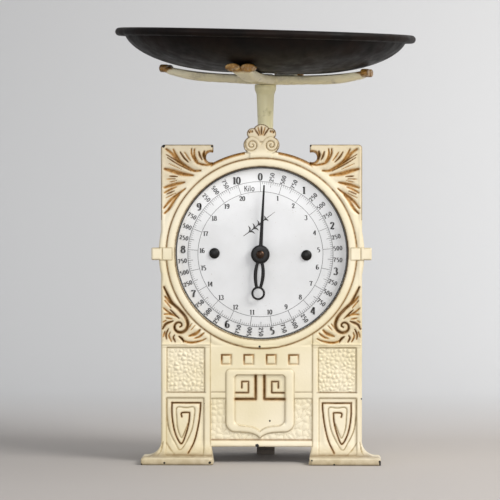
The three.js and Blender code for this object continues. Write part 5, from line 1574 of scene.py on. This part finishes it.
points, faces = cover_mesh()
cover = make_mesh("arched_cover", points, faces, "frame")
shade_by_angle(cover, 30)
finish_piece(cover, COVER_PAINT, "cover_paint", "rear_cover")

# %% Grommet, nut, leg and springs
grommet_low, grommet_high = box_mm("column_grommet")
g0, g1 = float(grommet_low[2]), float(grommet_high[2])
grommet_profile = rounded([(7.2, g0), (8.5, g0), (8.5, g1 - 1.6), (10.1, g1 - 1.6), (10.1, g1), (7.2, g1),
                           (7.2, g0)], 0.5)[:-1]
grommet = hoop("column_bush", grommet_profile, "frame", 64)
finish_piece(grommet, BRASS, "brass", "column_grommet")

nut_low, nut_high = box_mm("zero_nut")
nut_middle = (nut_low + nut_high) / 2


def knurled_nut():
    """A closed profile carried round, with the knob's outer radius rippled by a 24-fold wave."""
    z0, z1 = float(nut_low[2]), float(nut_high[2])
    profile = rounded([(3.4, z0), (5.0, z0), (5.0, z1 - 6), (7.5, z1 - 6), (7.5, z1), (3.4, z1),
                       (3.4, z0)], 0.6)[:-1]
    angle = np.linspace(0, 2 * math.pi, 192, endpoint=False)
    r, z = profile[:, 0][:, None], profile[:, 1][:, None]
    ripple = 0.32 * smoothstep(7.0, 7.4, r) * (np.abs(np.cos(12 * angle)) - 1)
    x, y = (r + ripple) * np.cos(angle), (r + ripple) * np.sin(angle)
    points = np.stack([x, y, np.broadcast_to(z, x.shape)], -1).reshape(-1, 3)
    faces = grid_faces(len(profile), 192, wrap_rows=True, wrap_columns=True)
    return points + [nut_middle[0], nut_middle[1], 0], faces


points, faces = knurled_nut()
nut = make_mesh("knurled_zero_nut", points, faces, "zero_nut")
shade_by_angle(nut, 30)
finish_piece(nut, BRASS, "brass", "zero_nut")


def spring_path(x, y, top, bottom, coil_r=6.0, turns=10):
    """A straight hook end, a helix and the lower end: angle grows evenly while the height falls."""
    t = np.linspace(0, 1, turns * 24)
    angle = 2 * math.pi * turns * t
    reach = coil_r * np.minimum(1, np.minimum(t, 1 - t) * 18)
    z = top - 14 - (top - bottom - 28) * t
    coil = np.stack([x + reach * np.cos(angle), y + reach * np.sin(angle), z], -1)
    upper = np.stack([np.full(6, x), np.full(6, y), np.linspace(top, top - 12, 6)], -1)
    lower = np.stack([np.full(6, x), np.full(6, y), np.linspace(bottom + 12, bottom, 6)], -1)
    return np.vstack([upper, coil, lower])


for word in ("left", "right"):
    low, high = box_mm(f"spring_{word}")
    x, y = (low[0] + high[0]) / 2, (low[1] + high[1]) / 2
    points, faces = tube_arrays(spring_path(x, y, high[2], low[2]), 0.8, sides=8)
    spring = make_mesh(f"coil_spring_{word}", points, faces, None)
    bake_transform(spring)
    finish_piece(spring, SPRING_STEEL, "spring_steel", f"spring_{word}")

# %% [markdown]
# ## The flange behind the dial opening
#
# A short cylinder is cast behind the opening. It stiffens the plate and keeps dust off the dial's edge.

# %% Flange
FLANGE_IN, FLANGE_OUT = OPENING_R + 0.02, 75.05
behind, ahead = -PLATE_BACK - 7.0, -PLATE_BACK + 0.5
flange_profile = [(FLANGE_IN, behind), (FLANGE_OUT, behind), (FLANGE_OUT, ahead), (FLANGE_IN, ahead)]
flange = hoop("opening_flange", flange_profile, "frame", 160, (CENTRE_X, 0, OPENING_Z), "y")
finish_piece(flange, COVER_PAINT, "cover_paint")

# %% [markdown]
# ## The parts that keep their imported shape
#
# Plates, links, pillars, screws, the rack and the pinion are already the right shape, so they keep it and
# get the finish of the real part. The housing hides most of them.

# %% Materials for the kept parts
BRASS_NODES = ("bush", "pinion", "pointer_shaft", "zero_screw", "link_pivot")
BLACK_NODES = ("rear_leg", "base_plate", "hanger_bracket")
for name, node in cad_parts.items():
    finish = STEEL
    if name.startswith(BRASS_NODES) or "bush" in name:
        finish = BRASS
    if name.startswith(BLACK_NODES) and "screw" not in name:
        finish = LEG_TAUPE
    if node.hide_render:
        continue
    node.data.materials.clear()
    node.data.materials.append(finish)
print("kept parts finished")

# %% [markdown]
# ## Studio
#
# The scale stands on a pale floor that curves up into the wall behind; the paper is painted darker on the
# floor than up the wall and darker towards the left, as painted shade. One large soft light is in front on
# the right and a weaker one on the left, with an even grey sky, so shadows fall softly to the left.
# The camera is 2.6 m away, a little above the middle and a little to the right, with a long lens.

# %% Floor, lights and camera
def backdrop():
    """A floor that sweeps up into a wall along a quarter circle: a profile in Y and Z carried along X."""
    turn = np.linspace(0, math.pi / 2, 16)
    y = np.concatenate([[-4000, -1000, 300], 600 + 500 * np.sin(turn), [1100]])
    z = np.concatenate([[0, 0, 0], 500 * (1 - np.cos(turn)), [4000]])
    x = np.linspace(-4000, 4000, 3)
    points = np.stack(np.broadcast_arrays(x[None, :], y[:, None], z[:, None]), -1).reshape(-1, 3)
    mesh = bpy.data.meshes.new("studio_floor")
    mesh.from_pydata((points / 1000).tolist(), [], grid_faces(len(y), 3).tolist())
    mesh.polygons.foreach_set("use_smooth", np.ones(len(mesh.polygons), bool))
    floor = bpy.data.objects.new("studio_floor", mesh)
    bpy.context.scene.collection.objects.link(floor)
    material, tree, shader = new_material("pale_studio_paper_painted_falloff")
    coords = add(tree, "ShaderNodeTexCoord").outputs["Object"]
    across, depth, _ = add(tree, "ShaderNodeSeparateXYZ", {0: coords}).outputs
    # Painted shade: the paper is darker on the floor in front than up the wall, and darker towards the left.
    paper_shading = ramp(tree, maths(tree, "MULTIPLY", depth, 1.2), [(0.2, "#B4AEA9"), (0.8, "#CBCBCB")])
    left = ramp(tree, maths(tree, "ADD", across, 0.5), [(0.1, 0.79), (0.75, 1.0)])
    paper_shading = mix(tree, 1.0, paper_shading, left, "MULTIPLY")
    tree.links.new(paper_shading, shader.inputs["Base Color"])
    shader.inputs["Roughness"].default_value = 0.85
    # From behind, the paper is clear, so that it doesn't hide the scale's back.
    clear = add(tree, "ShaderNodeBsdfTransparent").outputs[0]
    behind = add(tree, "ShaderNodeNewGeometry").outputs["Backfacing"]
    both = add(tree, "ShaderNodeMixShader", {0: behind, 1: shader.outputs[0], 2: clear}).outputs[0]
    tree.links.new(both, tree.nodes["Material Output"].inputs["Surface"])
    mesh.materials.append(material)


def area_light(name, place, aim, size, power, colour="#FFFFFF"):
    """A square soft light at a place, pointing at a point; metres and watts."""
    lamp = bpy.data.lights.new(name, "AREA")
    lamp.size = size
    lamp.energy = power
    lamp.color = linear(colour)[:3]
    light = bpy.data.objects.new(name, lamp)
    light.location = place
    light.rotation_euler = (Vector(aim) - Vector(place)).to_track_quat("-Z", "Y").to_euler()
    bpy.context.scene.collection.objects.link(light)


backdrop()
MIDDLE = (0.0, -0.02, 0.18)
area_light("key_right", (1.7, -1.2, 1.6), MIDDLE, 1.1, 53, "#FFFDFA")
area_light("front_box", (0.0, -2.7, 0.66), (0.0, 0.0, 0.6), 0.95, 19, "#FFFFFF")
area_light("fill_left", (-2.0, -1.3, 0.9), MIDDLE, 1.2, 9, "#F6F8FF")
area_light("wall_light", (1.3, 0.1, 1.9), (0.9, 1.0, 0.4), 1.2, 11)
world = bpy.data.worlds.new("studio_air")
world.use_nodes = True
world.node_tree.nodes["Background"].inputs[0].default_value = linear("#DADDE2")
world.node_tree.nodes["Background"].inputs[1].default_value = 0.64
bpy.context.scene.world = world

bpy.context.scene.view_settings.view_transform = "Standard"
AZIMUTH = 1.8
DISTANCE = 2.6
camera_data = bpy.data.cameras.new("view")
camera_data.lens = 228
camera_data.sensor_width = 36
camera_data.clip_end = 50
camera = bpy.data.objects.new("view", camera_data)
target = Vector((-0.0116, PLATE_FRONT / 1000, 0.1752))
side = math.radians(AZIMUTH)
camera.location = target + Vector((math.sin(side) * DISTANCE, -math.cos(side) * DISTANCE, 0.085))
camera.rotation_euler = (target - camera.location).to_track_quat("-Z", "Y").to_euler()
bpy.context.scene.collection.objects.link(camera)
bpy.context.scene.camera = camera
